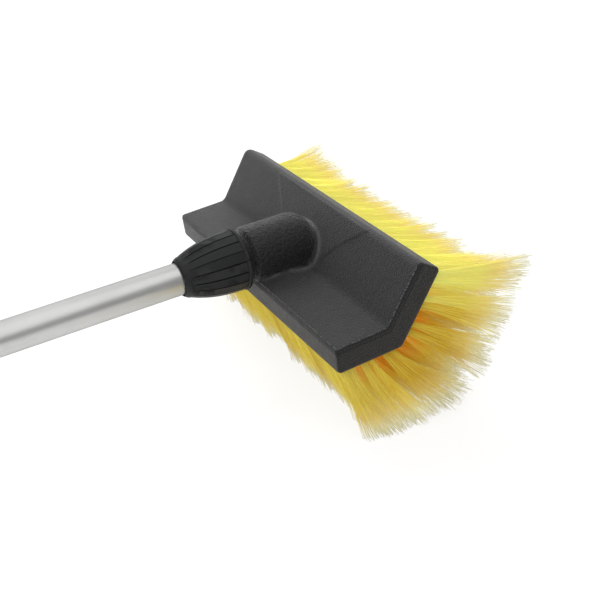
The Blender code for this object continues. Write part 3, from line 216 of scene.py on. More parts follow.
def start_piece(name, primitive, **settings):
    """Add a primitive at the origin under a name, and open it in edit mode."""
    deselect()
    primitive(**settings)
    thing = bpy.context.object
    thing.name = name
    thing.data.name = name
    open_piece(thing)
    bpy.ops.mesh.select_mode(type="EDGE")
    bpy.ops.mesh.select_all(action="SELECT")
    return thing


def open_piece(thing):
    """Make a piece active and open it in edit mode."""
    deselect()
    choose(thing)
    bpy.ops.object.mode_set(mode="EDIT")


def choose(*things):
    """Select some pieces; the first is the active one."""
    deselect()
    for thing in things:
        thing.select_set(True)
    bpy.context.view_layer.objects.active = things[0]


def pick(thing, kind, test):
    """In edit mode, select the verts, edges or faces that pass a test."""
    bpy.ops.mesh.select_mode(type={"verts": "VERT", "edges": "EDGE", "faces": "FACE"}[kind])
    bpy.ops.mesh.select_all(action="DESELECT")
    mesh = bmesh.from_edit_mesh(thing.data)
    mesh.normal_update()
    for part in getattr(mesh, kind):
        if test(part):
            part.select_set(True)
    mesh.select_flush_mode()
    bmesh.update_edit_mesh(thing.data)


def resize(factors, centre=(0, 0, 0)):
    """Scale what is selected about a centre."""
    bpy.ops.transform.resize(value=factors, center_override=centre)


def move(step):
    """Move what is selected."""
    bpy.ops.transform.translate(value=step)


def extrude(step):
    """Extrude what is selected by a step."""
    bpy.ops.mesh.extrude_region_move(TRANSFORM_OT_translate={"value": step})


def cut_off(place, direction):
    """Cut the open piece with a plane, drop what lies beyond and close the cut."""
    bpy.ops.mesh.select_mode(type="FACE")
    bpy.ops.mesh.select_all(action="SELECT")
    bpy.ops.mesh.bisect(plane_co=place, plane_no=direction, use_fill=True, clear_outer=True)


def close_seams(merge=TINY):
    """Merge doubles and turn the faces outwards."""
    bpy.ops.mesh.select_all(action="SELECT")
    bpy.ops.mesh.remove_doubles(threshold=merge)
    bpy.ops.mesh.normals_make_consistent(inside=False)


def apply_modifier(thing, kind, **settings):
    """Add a modifier, set it and apply it."""
    choose(thing)
    step = thing.modifiers.new(kind.lower(), kind)
    for name, value in settings.items():
        setattr(step, name, value)
    bpy.ops.object.modifier_apply(modifier=step.name)


def combine(thing, tool, operation):
    """Join a tool to a piece, or cut the piece with it, and remove the tool."""
    apply_modifier(thing, "BOOLEAN", operation=operation, solver="EXACT", object=tool)
    bpy.data.objects.remove(tool)


def join_pieces(*things):
    """Join pieces into the first one."""
    choose(*things)
    bpy.ops.object.join()
    return things[0]


def set_down(thing, place):
    """Put a piece's place into its mesh."""
    choose(thing)
    thing.matrix_world = place
    bpy.ops.object.transform_apply(location=True, rotation=True, scale=True)


def soften(thing, width, steps=2, angle=30.0):
    """Round the edges that are sharper than an angle."""
    apply_modifier(thing, "BEVEL", width=width, segments=steps, limit_method="ANGLE",
                   angle_limit=math.radians(angle), harden_normals=False)


def smooth(thing, angle=35.0):
    """Shade a piece smooth, with edges sharper than an angle kept."""
    choose(thing)
    bpy.ops.object.shade_smooth_by_angle(angle=math.radians(angle))


def dress(thing, body, slot, material, *nodes):
    """Give a finished piece its material and its body, and hide the nodes it stands for; its
    slot is not used.
    """
    thing.data.materials.clear()
    thing.data.materials.append(material)
    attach(thing, body)
    if nodes:
        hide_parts(*nodes)


def lathe(name, levels, segments, closed=False):
    """A turned piece: a circle extruded and resized through (radius, height) levels."""
    radius, height = levels[0]
    thing = start_piece(name, bpy.ops.mesh.primitive_circle_add, vertices=segments,
                        radius=radius, fill_type="NOTHING")
    move((0, 0, height))
    if not closed:
        bpy.ops.mesh.edge_face_add()
        bpy.ops.mesh.select_mode(type="FACE")
    for near, far in zip(levels, levels[1:] + levels[:1] if closed else levels[1:]):
        extrude((0, 0, far[1] - near[1]))
        share = far[0] / near[0]
        resize((share, share, 1), (0, 0, far[1]))
    close_seams()
    deselect()
    return thing


RIM_EASE = 0.0004
RIM_REACH = 0.0014


def round_rim(radius, height, side, width):
    """Three levels round a turned piece's outer rim; the piece lies to one side of it."""
    return [(radius - width, height), (radius - RIM_EASE, height + side * RIM_EASE),
            (radius, height + side * RIM_REACH)]


def upright_section(name, width, height, centre):
    """An upright rectangle that faces along Y, to be drawn out along it."""
    thing = start_piece(name, bpy.ops.mesh.primitive_plane_add, size=1.0)
    bpy.ops.transform.rotate(value=math.pi / 2, orient_axis="X", center_override=(0, 0, 0))
    resize((width, 1, height))
    move(centre)
    return thing


def draw_out(stations):
    """Extrude a section along Y through (place, half width, lift) stations."""
    for (near, narrow, low), (far, wide, high) in zip(stations, stations[1:]):
        extrude((0, far - near, high - low))
        resize((wide / narrow, 1, 1), (0, far, 0))


FOOT_DEPTH = 0.003
FOOT_STEPS = 8


def oval_foot(name, half_width, half_length, centre, inset, rise):
    """An oval foot on the XY plane that rises in a hollow curve."""
    thing = start_piece(name, bpy.ops.mesh.primitive_circle_add, vertices=WIDE_SEGMENTS,
                        radius=1.0, fill_type="NGON")
    resize((half_width, half_length, 1))
    move((0, centre, -FOOT_DEPTH))
    wide, deep, height = half_width, half_length, -FOOT_DEPTH
    for step in range(FOOT_STEPS + 1):
        angle = math.pi / 2 * step / FOOT_STEPS
        shrink = inset * math.sin(angle)
        top = rise * (1 - math.cos(angle))
        extrude((0, 0, top - height))
        resize(((half_width - shrink) / wide, (half_length - shrink) / deep, 1),
               (0, centre, top))
        wide, deep, height = half_width - shrink, half_length - shrink, top
    close_seams()
    return thing


# Shader groups

def new_group(name, inputs, outputs):
    """A shader node group on a vector, with named values in and out, and its end nodes."""
    tree = bpy.data.node_groups.new(name, "ShaderNodeTree")
    tree.interface.new_socket(name="Vector", in_out="INPUT", socket_type="NodeSocketVector")
    for label, default in inputs.items():
        socket = tree.interface.new_socket(name=label, in_out="INPUT",
                                           socket_type="NodeSocketFloat")
        socket.default_value = default
    for label in outputs:
        tree.interface.new_socket(name=label, in_out="OUTPUT", socket_type="NodeSocketFloat")
    return tree, tree.nodes.new("NodeGroupInput"), tree.nodes.new("NodeGroupOutput")


def node(tree, kind, links=(), **settings):
    """Add a node, set it, and link (output socket, input name) pairs into it."""
    result = tree.nodes.new(kind)
    for name, value in settings.items():
        if name in result.inputs:
            result.inputs[name].default_value = value
        else:
            setattr(result, name, value)
    for output, name in links:
        tree.links.new(output, result.inputs[name])
    return result


def math_node(tree, operation, first, second=None, third=None):
    """One arithmetic step; each input is a socket or a number."""
    result = node(tree, "ShaderNodeMath", operation=operation)
    for index, value in enumerate((first, second, third)):
        if isinstance(value, bpy.types.NodeSocket):
            tree.links.new(value, result.inputs[index])
        elif value is not None:
            result.inputs[index].default_value = value
    return result.outputs[0]


def carry(tree, value, start, goal=(0.0, 1.0), soft=False):
    """A value carried from one range to another, straight or by a soft step."""
    result = node(tree, "ShaderNodeMapRange", [(value, "Value")],
                  interpolation_type="SMOOTHSTEP" if soft else "LINEAR")
    for label, limits in (("From", start), ("To", goal)):
        result.inputs[f"{label} Min"].default_value = limits[0]
        result.inputs[f"{label} Max"].default_value = limits[1]
    return result.outputs["Result"]


def pattern(tree, kind, source, **settings):
    """A texture on a group's own Vector and Scale."""
    links = [(source.outputs[name], name) for name in ("Vector", "Scale")]
    return node(tree, kind, links, **settings)


GRAIN_SOFTNESS = 0.6
CELL_SHARE = -0.7


def pebble_grain():
    """Height of a fine moulded pebble grain."""
    tree, source, sink = new_group("pebble_grain", {"Scale": 900.0}, ("Height",))
    cells = pattern(tree, "ShaderNodeTexVoronoi", source, feature="SMOOTH_F1")
    cells.inputs["Smoothness"].default_value = GRAIN_SOFTNESS
    clouds = pattern(tree, "ShaderNodeTexNoise", source, Detail=2.0)
    height = math_node(tree, "MULTIPLY_ADD", cells.outputs["Distance"], CELL_SHARE,
                       clouds.outputs["Fac"])
    tree.links.new(height, sink.inputs["Height"])
    return tree


def cloudy_mask():
    """A soft mask of patches, from 0 to 1."""
    tree, source, sink = new_group("cloudy_mask", {"Scale": 60.0, "Low": 0.35, "High": 0.65},
                                   ("Mask",))
    clouds = pattern(tree, "ShaderNodeTexNoise", source, Detail=5.0, Roughness=0.6)
    mask = node(tree, "ShaderNodeMapRange", [(clouds.outputs["Fac"], "Value"),
                                             (source.outputs["Low"], "From Min"),
                                             (source.outputs["High"], "From Max")])
    tree.links.new(mask.outputs["Result"], sink.inputs["Mask"])
    return tree


def drawn_lines():
    """Height of fine lines that run along one stretched direction."""
    tree, source, sink = new_group("drawn_lines", {"Scale": 2500.0}, ("Height",))
    lines = pattern(tree, "ShaderNodeTexNoise", source, Detail=3.0, Roughness=0.7)
    tree.links.new(lines.outputs["Fac"], sink.inputs["Height"])
    return tree


# The mould's parting line, with painted shadow in its step and a painted highlight on its flash:
# its places, and each band's shift outwards, its shift down the block's side and its width
PARTING_INSET = 0.0006
PARTING_CAP = 0.0012
PARTING_HEEL = 0.0399
PARTING_BANDS = (("Step", 0.0004, 0.0018, 0.0016), ("Flash", -0.0008, 0.0002, 0.0006))
BAND_FADE, BAND_CORE = 1.6, 0.5
FLASH_GAPS = (0.44, 0.60)


def parting_line():
    """Masks of the mould's parting line round the inner face: its step, painted dark as shadow,
    a ragged flash, painted pale as a highlight, and the block's ends, where shade is painted."""
    tree, source, sink = new_group("parting_line", {}, ("Step", "Flash", "End"))
    vector = source.outputs["Vector"]
    place = node(tree, "ShaderNodeSeparateXYZ", [(vector, "Vector")]).outputs
    tilted = node(tree, "ShaderNodeVectorMath", [(vector, 0)], operation="DOT_PRODUCT")
    tilted.inputs[1].default_value = UPPER_OUTWARD
    depth = math_node(tree, "MAXIMUM", math_node(tree, "MULTIPLY", place["Z"], -1.0),
                      tilted.outputs["Value"])
    end = math_node(tree, "SUBTRACT", math_node(tree, "ABSOLUTE", place["X"]),
                    BLOCK_HALF - PARTING_INSET)
    # The ends' mask, for painted shade on the block's ends
    tree.links.new(carry(tree, end, (-PARTING_CAP, 0.0), soft=True), sink.inputs["End"])
    heel = math_node(tree, "SUBTRACT", math_node(tree, "MULTIPLY", place["Y"], -1.0),
                     PARTING_HEEL)
    rim = math_node(tree, "MAXIMUM", end, heel)
    wave = node(tree, "ShaderNodeTexNoise", [(vector, "Vector")], Scale=900.0, Detail=3.0)
    # Painted shadow in the step, and a painted highlight on the ragged flash
    for label, rim_shift, depth_shift, width in PARTING_BANDS:
        across = math_node(tree, "SUBTRACT", rim, rim_shift)
        down = math_node(tree, "SUBTRACT", depth, depth_shift)
        squares = math_node(tree, "ADD", math_node(tree, "MULTIPLY", across, across),
                            math_node(tree, "MULTIPLY", down, down))
        mask = carry(tree, math_node(tree, "SQRT", squares),
                     (width * BAND_FADE, width * BAND_CORE), soft=True)
        if label == "Flash":
            mask = math_node(tree, "MULTIPLY", mask,
                             carry(tree, wave.outputs["Fac"], FLASH_GAPS))
        tree.links.new(mask, sink.inputs[label])
    return tree


GROUPS = {}


def shader_groups():
    """The shared groups, built at the first call."""
    if not GROUPS:
        GROUPS.update(grain=pebble_grain(), cloud=cloudy_mask(), lines=drawn_lines(),
                      parting=parting_line())
    return GROUPS


# Materials

def group(tree, name, vector, **values):
    """Place a shared group in a material with its own values."""
    result = tree.nodes.new("ShaderNodeGroup")
    result.node_tree = shader_groups()[name]
    tree.links.new(vector, result.inputs["Vector"])
    for label, value in values.items():
        result.inputs[label].default_value = value
    return result


def object_vector(tree, kind="POINT", **settings):
    """Object coordinates through a mapping."""
    source = tree.nodes.new("ShaderNodeTexCoord")
    mapping = node(tree, "ShaderNodeMapping", [(source.outputs["Object"], "Vector")],
                   vector_type=kind, **settings)
    return mapping.outputs["Vector"]


def block_vector(tree):
    """The place in the block's own frame."""
    return object_vector(tree, "TEXTURE", Location=BLOCK_FRAME.translation,
                         Rotation=BLOCK_FRAME.to_euler())


def attribute(tree, name):
    """A value that is stored on a mesh's points."""
    return node(tree, "ShaderNodeAttribute", attribute_name=name).outputs["Fac"]


def blend(tree, mask, first, second):
    """A colour that goes from one to the other by a mask; each is a socket or a value."""
    result = node(tree, "ShaderNodeMix", data_type="RGBA")
    tree.links.new(mask, result.inputs["Factor"])
    for value, label in ((first, "A"), (second, "B")):
        socket = [s for s in result.inputs if s.name == label and s.type == "RGBA"][0]
        if isinstance(value, bpy.types.NodeSocket):
            tree.links.new(value, socket)
        else:
            socket.default_value = value
    return [s for s in result.outputs if s.type == "RGBA"][0]


def tinted(tint, share):
    """A colour made lighter or darker by a share."""
    return (*(min(1.0, channel * share) for channel in tint[:3]), 1.0)


def new_material(name, roughness, metallic=0.0):
    """A material and its Principled shader."""
    material = bpy.data.materials.new(name)
    material.use_nodes = True
    shader = material.node_tree.nodes["Principled BSDF"]
    shader.inputs["Roughness"].default_value = roughness
    shader.inputs["Metallic"].default_value = metallic
    return material, material.node_tree, shader


def bump(tree, shader, height, distance):
    """Feed a height into the shader's normal."""
    result = node(tree, "ShaderNodeBump", [(height, "Height")], Distance=distance, Strength=1.0)
    tree.links.new(result.outputs["Normal"], shader.inputs["Normal"])


# Moulded finishes: colour, roughness, scale and depth of the grain, patchiness, metallic
FINISHES = {
    "spray_moulding": ("spray", 0.50, 1500.0, 0.00008, 0.12, 0.0),
    "nut_moulding": ("nut", 0.50, 1600.0, 0.00004, 0.12, 0.0),
    "grip_rubber": ("grip", 0.72, 1400.0, 0.00012, 0.12, 0.0),
    "valve_moulding": ("valve", 0.45, 1500.0, 0.00006, 0.12, 0.0),
    "connector_moulding": ("valve", 0.42, 1500.0, 0.00006, 0.12, 0.0),
    "ring_rubber": ("rubber", 0.60, 1800.0, 0.00004, 0.12, 0.0),
    "lever_moulding": ("lever", 0.42, 1500.0, 0.00005, 0.06, 0.0),
    "screw_metal": ("steel", 0.30, 2500.0, 0.00001, 0.05, 1.0),
    "clamp_moulding": ("clamp", 0.45, 1500.0, 0.00004, 0.05, 0.0),
    "seal_rubber": ("rubber", 0.75, 1800.0, 0.00005, 0.12, 0.0),
    "seat_moulding": ("seat", 0.40, 1600.0, 0.00003, 0.04, 0.0),
    "valve_brass": ("brass", 0.28, 2500.0, 0.00001, 0.06, 1.0),
}
PATCH_SCALE = 45.0
SMOOTHER, ROUGHER = 0.04, 0.05


def moulded(name, colours):
    """Moulded plastic, rubber or cast metal: patchy tone and gloss over a fine grain."""
    tint, roughness, grain_scale, grain_depth, patch, metallic = FINISHES[name]
    tint = getattr(colours, tint)
    material, tree, shader = new_material(name, roughness, metallic)
    vector = object_vector(tree)
    mask = group(tree, "cloud", vector, Scale=PATCH_SCALE).outputs["Mask"]
    tree.links.new(blend(tree, mask, tinted(tint, 1 - patch), tinted(tint, 1 + patch)),
                   shader.inputs["Base Color"])
    tree.links.new(carry(tree, mask, (0.0, 1.0), (roughness - SMOOTHER, roughness + ROUGHER)),
                   shader.inputs["Roughness"])
    grain = group(tree, "grain", vector, Scale=grain_scale).outputs["Height"]
    bump(tree, shader, grain, grain_depth)
    return material


# Layers of painted light over the block's plastic, highlights on the bead and the flash and
# shade in the creases, on the ends and in the parting line's step: mask, strength, and share of
# the block's colour
PAINTED_LIGHT_LAYERS = (("rim", 0.8, 8.5), ("crease", 0.45, 0.3), ("End", 0.8, 0.2),
                ("Step", 0.75, 0.12), ("Flash", 0.8, 12.0))
WING_ROUGHNESS, BOSS_ROUGHNESS = 0.47, -0.19
WING_PATCHES, BOSS_PATCHES = 0.08, 0.12
BOSS_LUMPS = 1.5
GRAIN_DEPTH = 0.00065
MOULDED_GLOSS = 0.36


def block_material(colours):
    """The block's plastic: pebbled wings, a parting line and a smoother, darker boss, with
    painted highlights and painted shade laid over them.
    """
    material, tree, shader = new_material("block_moulding", 0.6)
    vector = block_vector(tree)
    masks = dict(group(tree, "parting", vector).outputs.items())
    masks.update((name, attribute(tree, name)) for name in ("boss", "rim", "crease"))
    boss = masks["boss"]
    cloud = group(tree, "cloud", vector, Scale=38.0).outputs["Mask"]
    spots = group(tree, "cloud", vector, Scale=880.0, Low=0.40, High=0.60).outputs["Mask"]
    wings = blend(tree, cloud, tinted(colours.block, 0.92), tinted(colours.block, 1.08))
    wings = blend(tree, math_node(tree, "MULTIPLY", spots, 0.6), wings,
                  tinted(colours.block, 2.8))
    polished = blend(tree, cloud, tinted(colours.boss, 0.7), tinted(colours.boss, 1.3))
    skin = blend(tree, boss, wings, polished)
    # Paint the highlights and the shade into the colour, layer by layer
    for name, strength, share in PAINTED_LIGHT_LAYERS:
        skin = blend(tree, math_node(tree, "MULTIPLY", masks[name], strength), skin,
                     tinted(colours.block, share))
    tree.links.new(skin, shader.inputs["Base Color"])
    gloss = math_node(tree, "MULTIPLY_ADD", boss, BOSS_ROUGHNESS, WING_ROUGHNESS)
    patches = group(tree, "cloud", vector, Scale=150.0).outputs["Mask"]
    patches = math_node(tree, "MULTIPLY", patches,
                        math_node(tree, "MULTIPLY_ADD", boss, BOSS_PATCHES, WING_PATCHES))
    tree.links.new(math_node(tree, "ADD", gloss, patches), shader.inputs["Roughness"])
    grain = group(tree, "grain", vector, Scale=1050.0).outputs["Height"]
    lumps = group(tree, "grain", vector, Scale=460.0).outputs["Height"]
    lumps = math_node(tree, "MULTIPLY", lumps, math_node(tree, "MULTIPLY", boss, BOSS_LUMPS))
    height = math_node(tree, "ADD", grain, lumps)
    bump(tree, shader, math_node(tree, "SUBTRACT", height, masks["Step"]), GRAIN_DEPTH)
    shader.inputs["Specular IOR Level"].default_value = MOULDED_GLOSS
    shader.inputs["Sheen Weight"].default_value = 0.15
    return material


DRAWN_STRETCH = 0.012
DRAWN_DEPTH = 0.00002
DRAWN_ROUGHNESS = (0.30, 0.42)


def tube_material(colours):
    """Drawn, anodised aluminium with fine lines along the tube."""
    material, tree, shader = new_material("anodised_tube", 0.36, 1.0)
    vector = object_vector(tree, Scale=(1, DRAWN_STRETCH, 1),
                           Rotation=(math.atan2(ALONG.z, -ALONG.y), 0, 0))
    lines = group(tree, "lines", vector, Scale=2600.0).outputs["Height"]
    cloud = group(tree, "cloud", object_vector(tree), Scale=25.0).outputs["Mask"]
    tree.links.new(blend(tree, cloud, tinted(colours.aluminium, 0.96),
                         tinted(colours.aluminium, 1.03)), shader.inputs["Base Color"])
    tree.links.new(carry(tree, lines, (0.0, 1.0), DRAWN_ROUGHNESS),
                   shader.inputs["Roughness"])
    bump(tree, shader, lines, DRAWN_DEPTH)
    shader.inputs["Specular Tint"].default_value = (0.5, 0.5, 0.5, 1.0)
    return material


def along_ramp(tree, along, stops):
    """A colour that runs through several stops along a filament."""
    ramp = node(tree, "ShaderNodeValToRGB", [(along, "Fac")])
    elements = ramp.color_ramp.elements
    elements[0].position, elements[0].color = stops[0]
    elements[1].position, elements[1].color = stops[-1]
    for position, tint in stops[1:-1]:
        elements.new(position).color = tint
    return ramp.outputs["Color"]


# Shares of a filament's length at which its colour and its inner light change
PALE_FROM, PALE_TO = 0.74, 0.95
ROOT_LIGHT, MIDDLE_LIGHT, TIP_LIGHT = 0.28, 0.55, 0.85
TONE_RANGE = (0.78, 1.06)


def bristle_material(colours):
    """Filaments in yellow with pale, frayed tips, and a warm light inside the tufts."""
    material, tree, shader = new_material("bristle_filament", 0.45)
    strand = node(tree, "ShaderNodeSeparateXYZ",
                  [(tree.nodes.new("ShaderNodeTexCoord").outputs["UV"], "Vector")]).outputs
    pale = colours.bristle_tip
    tints = [along_ramp(tree, strand["Y"], ((0.0, tint), (PALE_FROM, tint), (PALE_TO, pale),
                                            (1.0, pale)))
             for tint in (colours.bristle_gold, colours.bristle_yellow)]
    tone = node(tree, "ShaderNodeHueSaturation",
                [(blend(tree, strand["X"], *tints), "Color"),
                 (carry(tree, strand["X"], (0.0, 1.0), TONE_RANGE), "Value")])
    tree.links.new(tone.outputs["Color"], shader.inputs["Base Color"])
    # Painted glow, given as emission: gold on the outer filaments, warm at the roots inside the
    # tufts, and brighter where light falls on the lip and the heel
    gold, glows = tinted(colours.bristle_gold, 0.12), []
    for root, middle, tip_share in ((gold, gold, 0.20), (colours.bristle_root_glow, gold, 0.16),
                                    (colours.bristle_lit, colours.bristle_lit, 0.27)):
        tip = tinted(pale, tip_share)
        glows.append(along_ramp(tree, strand["Y"], (
            (0.0, root), (ROOT_LIGHT, root), (MIDDLE_LIGHT, middle), (TIP_LIGHT, tip),
            (1.0, tip))))
    glow = blend(tree, attribute(tree, "inside"), *glows[:2])
    tree.links.new(blend(tree, attribute(tree, "lit"), glow, glows[2]),
                   shader.inputs["Emission Color"])
    shader.inputs["Emission Strength"].default_value = 1.0
    shader.inputs["Specular IOR Level"].default_value = 0.15
    return material


# The block

FLARE_HALF_WIDTH = 0.0275
FLARE_HALF_LENGTH = 0.0206
FLARE_CENTRE = 0.0080
FLARE_INSET = 0.0080
FLARE_RISE = 0.0055
MOUND_HALF_WIDTH = 0.0425
MOUND_HALF_LENGTH = 0.0245
MOUND_CENTRE = -0.0195
MOUND_INSET = 0.0220
MOUND_RISE = 0.0070


class BROOM_OT_block(Operator):
    """Model the bent bar with its boss and feet, and blend them into one moulding."""

    bl_idname = "broom.make_block"
    bl_label = "Brush block"

    def execute(self, context):
        sizes = context.scene.broom_sizes
        block = bent_bar(sizes)
        boss = handle_boss(sizes)
        flare = oval_foot("flare", FLARE_HALF_WIDTH, FLARE_HALF_LENGTH, FLARE_CENTRE,
                          FLARE_INSET, FLARE_RISE)
        set_down(flare, UPPER_FACE)
        mound = oval_foot("mound", MOUND_HALF_WIDTH, MOUND_HALF_LENGTH, MOUND_CENTRE,
                          MOUND_INSET, MOUND_RISE)
        cut_off((0, GAP - sizes.boss_rim, 0), (0, -1, 0))
        beads = outline_beads()
        pad = fan_pad()
        block = join_pieces(block, boss, flare, mound, pad, *beads)
        apply_modifier(block, "REMESH", mode="VOXEL", voxel_size=sizes.moulding_grain)
        blend_junction(block, sizes)
        combine(block, socket_cutter(), "DIFFERENCE")
        combine(block, channel_cutter(), "DIFFERENCE")
        mark_boss(block, sizes)
        smooth(block, 40.0)
        set_down(block, BLOCK_FRAME)
        dress(block, "head", "block_plastic", block_material(context.scene.broom_colours),
              "brush_block")
        return {"FINISHED"}


def corner_spots(sizes):
    """The bar's long corners in section, with the radius and the angle of each."""
    thick = sizes.block_thickness
    lower_end = LOWER_DIRECTION * sizes.lower_wing
    upper_end = UPPER_DIRECTION * sizes.upper_wing
    return [
        (lower_end, sizes.edge_round, math.pi / 2),
        (Vector((0, 0, 0)), sizes.bend_round, WING_ANGLE),
        (upper_end, sizes.lip_round, math.pi / 2),
        (upper_end + UPPER_OUTWARD * thick, sizes.edge_round, math.pi / 2),
        (BEND_OUTWARD * (thick / math.sin(WING_ANGLE / 2)), sizes.bend_round, WING_ANGLE),
        (lower_end + LOWER_OUTWARD * thick, sizes.edge_round, math.pi / 2),
    ]


def bent_bar(sizes):
    """The bent bar: a block cut on the mitre and drawn out along the upper wing."""
    bar = start_piece("block_moulding", bpy.ops.mesh.primitive_cube_add, size=1.0)
    thick = sizes.block_thickness
    depth = sizes.lower_wing + thick
    resize((sizes.block_length, depth, thick))
    move((0, thick - depth / 2, -thick / 2))
    cut_off((0, 0, 0), BEND_ACROSS)
    pick(bar, "faces", lambda face: face.normal.dot(BEND_ACROSS) > NEARLY)
    extrude(UPPER_DIRECTION * (sizes.upper_wing + thick))
    cut_off(UPPER_DIRECTION * sizes.upper_wing, UPPER_DIRECTION)
    for spot, radius, angle in corner_spots(sizes):
        pick(bar, "edges", lambda edge: all((vert.co.yz - spot.yz).length < TINY
                                            for vert in edge.verts))
        bpy.ops.mesh.bevel(offset=radius / math.tan(angle / 2), segments=CORNER_STEPS,
                           affect="EDGES", offset_type="OFFSET")
    for side in (-1, 1):
        pick(bar, "faces", lambda face: face.normal.x * side > NEARLY)
        round_end(sizes, side)
    close_seams()
    deselect()
    return bar


CORNER_STEPS = 6
END_STEPS = 4
END_SHIFT = 0.4


def round_end(sizes, side):
    """Round the picked end face, less on the inner side than on the outer one."""
    move((-side * sizes.end_round, 0, 0))
    inward, ahead = 0.0, 0.0
    for step in range(1, END_STEPS + 1):
        angle = math.pi / 2 * step / END_STEPS
        reach = sizes.end_round * math.sin(angle)
        narrow = sizes.end_round * (1 - END_SHIFT) * (1 - math.cos(angle))
        bpy.ops.mesh.inset(thickness=narrow - inward, depth=reach - ahead)
        move(-BEND_OUTWARD * ((narrow - inward) * END_SHIFT))
        inward, ahead = narrow, reach


STUB_RADIUS = 0.0180
STUB_END = 0.058
STUB_CHAMFER = 0.001
BOSS_RIM_WIDTH = 0.0014
DOME_START = 0.001
DOME_LENGTH = 0.0175
DOME_STEPS = 12
SEAL_POCKET_RADIUS = 0.0155
SEAL_SHOULDER = 0.0200
WATER_BORE_RADIUS = 0.0050
WATER_BORE_END = 0.0130


def handle_boss(sizes):
    """The boss with its stub, and the dome that it ends in."""
    radius, rim = sizes.boss_radius, sizes.boss_rim
    levels = [(STUB_RADIUS - STUB_CHAMFER, STUB_END), (STUB_RADIUS, STUB_END - STUB_CHAMFER),
              (STUB_RADIUS, rim), *round_rim(radius, rim, -1, BOSS_RIM_WIDTH)]
    for step in range(DOME_STEPS):
        angle = math.pi / 2 * step / DOME_STEPS
        levels.append((radius * math.cos(angle), DOME_START - DOME_LENGTH * math.sin(angle)))
    boss = lathe("boss", levels, WIDE_SEGMENTS)
    set_down(boss, HANDLE_IN_BLOCK)
    return boss


BEAD_RADIUS = 0.0013
BEAD_CORNERS = 10
FLANK_CORNERS = 12
FLANK_TOP = Vector((0.0245, 0.001, 0))
FLANK_FOOT = Vector((0.0170, -0.0375, 0))


def outline_beads():
    """The bead round the boss: an oval on the upper wing and a bar beside each flank."""
    ring = start_piece("oval_bead", bpy.ops.mesh.primitive_torus_add,
                       major_radius=FLARE_HALF_WIDTH, minor_radius=BEAD_RADIUS,
                       major_segments=WIDE_SEGMENTS, minor_segments=BEAD_CORNERS)
    resize((1, FLARE_HALF_LENGTH / FLARE_HALF_WIDTH, 1))
    move((0, FLARE_CENTRE, 0))
    set_down(ring, UPPER_FACE)
    beads = [ring]
    for side in (-1, 1):
        start, end = (Vector((side * spot.x, spot.y, 0)) for spot in (FLANK_TOP, FLANK_FOOT))
        bar = start_piece("flank_bead", bpy.ops.mesh.primitive_cylinder_add,
                          vertices=FLANK_CORNERS, radius=BEAD_RADIUS,
                          depth=(end - start).length)
        turn = (end - start).to_track_quat("Z", "Y").to_matrix().to_4x4()
        set_down(bar, Matrix.Translation((start + end) / 2) @ turn)
        beads.append(bar)
    return beads


# The fan-shaped pad: its section, and its (place up the wing, half width) stations
PAD_HEIGHT = 0.0006
PAD_THICKNESS = 0.003
PAD_STATIONS = ((0.006, 0.0290), (0.024, 0.0415), (0.040, 0.0590), (0.0472, 0.0668))


def fan_pad():
    """A thin pad on the upper wing that widens from the boss towards the lip."""
    low, narrow = PAD_STATIONS[0]
    pad = upright_section("fan_pad", 2 * narrow, PAD_THICKNESS,
                          (0, low, PAD_HEIGHT - PAD_THICKNESS / 2))
    draw_out([(place, half, 0.0) for place, half in PAD_STATIONS])
    move((0, 0, -PAD_HEIGHT))
    close_seams()
    set_down(pad, UPPER_FACE)
    return pad


def socket_cutter():
    """The stepped bore for the tube, the seal and the collet."""
    levels = [(SEAL_POCKET_RADIUS, STUB_END + OVERRUN), (SEAL_POCKET_RADIUS, SEAL_SHOULDER),
              (TUBE_RADIUS + GAP, SEAL_SHOULDER), (TUBE_RADIUS + GAP, TUBE_START - GAP),
              (WATER_BORE_RADIUS, TUBE_START - GAP), (WATER_BORE_RADIUS, -WATER_BORE_END)]
    cutter = lathe("socket_cutter", levels, WIDE_SEGMENTS)
    set_down(cutter, HANDLE_IN_BLOCK)
    return cutter


BAR_HALF_WIDTH = 0.0035
BAR_THICKNESS = 0.003
CHANNEL_DEPTH = 0.0052


def channel_cutter():
    """The seat of the spray bar, cut into the outer bend."""
    return bend_bar("channel_cutter", BAR_HALF_WIDTH + GAP, -OVERRUN, CHANNEL_DEPTH,
                    BAR_HALF + GAP)


def bend_frame(place):
    """A frame at the outer bend whose Z points into the block."""
    return place_matrix(ACROSS, BEND_ACROSS, -BEND_OUTWARD, place)


def bend_bar(name, half_width, low, high, half_length):
    """A bar along the outer bend, between two depths under its sharp corner."""
    bar = start_piece(name, bpy.ops.mesh.primitive_cube_add, size=1.0)
    resize((2 * half_length, 2 * half_width, high - low))
    set_down(bar, bend_frame(OUTER_CORNER - BEND_OUTWARD * ((low + high) / 2)))
    return bar


def smoothstep(low, high, value):
    """0 under low, 1 over high and a soft step between, for arrays."""
    share = np.clip((value - low) / (high - low), 0, 1)
    return share * share * (3 - 2 * share)


def hill(away, width):
    """1 in the middle, and soft slopes to 0 on both sides, for arrays."""
    return np.exp(-(away / width) ** 2)


def point_array(thing):
    """A mesh's points as an array."""
    points = np.empty(len(thing.data.vertices) * 3)
    thing.data.vertices.foreach_get("co", points)
    return points.reshape(-1, 3)


def from_boss(points):
    """Each point's distance from the handle line, and its height over the wings."""
    local = np.array(HANDLE_IN_BLOCK.inverted())
    handle = points @ local[:3, :3].T + local[:3, 3]
    inner = np.maximum(points @ np.array(LOWER_OUTWARD), points @ np.array(UPPER_OUTWARD))
    return np.hypot(handle[:, 0], handle[:, 1]), handle[:, 2], -inner


# Where the junction is smoothed: along the block, in front of the boss's rim, over the wings
# and up the upper wing
JUNCTION_SIDES = (0.046, 0.052)
JUNCTION_RIM = (0.007, 0.003)
JUNCTION_HEIGHT = (-0.0015, -0.0005)
JUNCTION_TOP = (0.030, 0.036)
LEAST_WEIGHT = 0.01


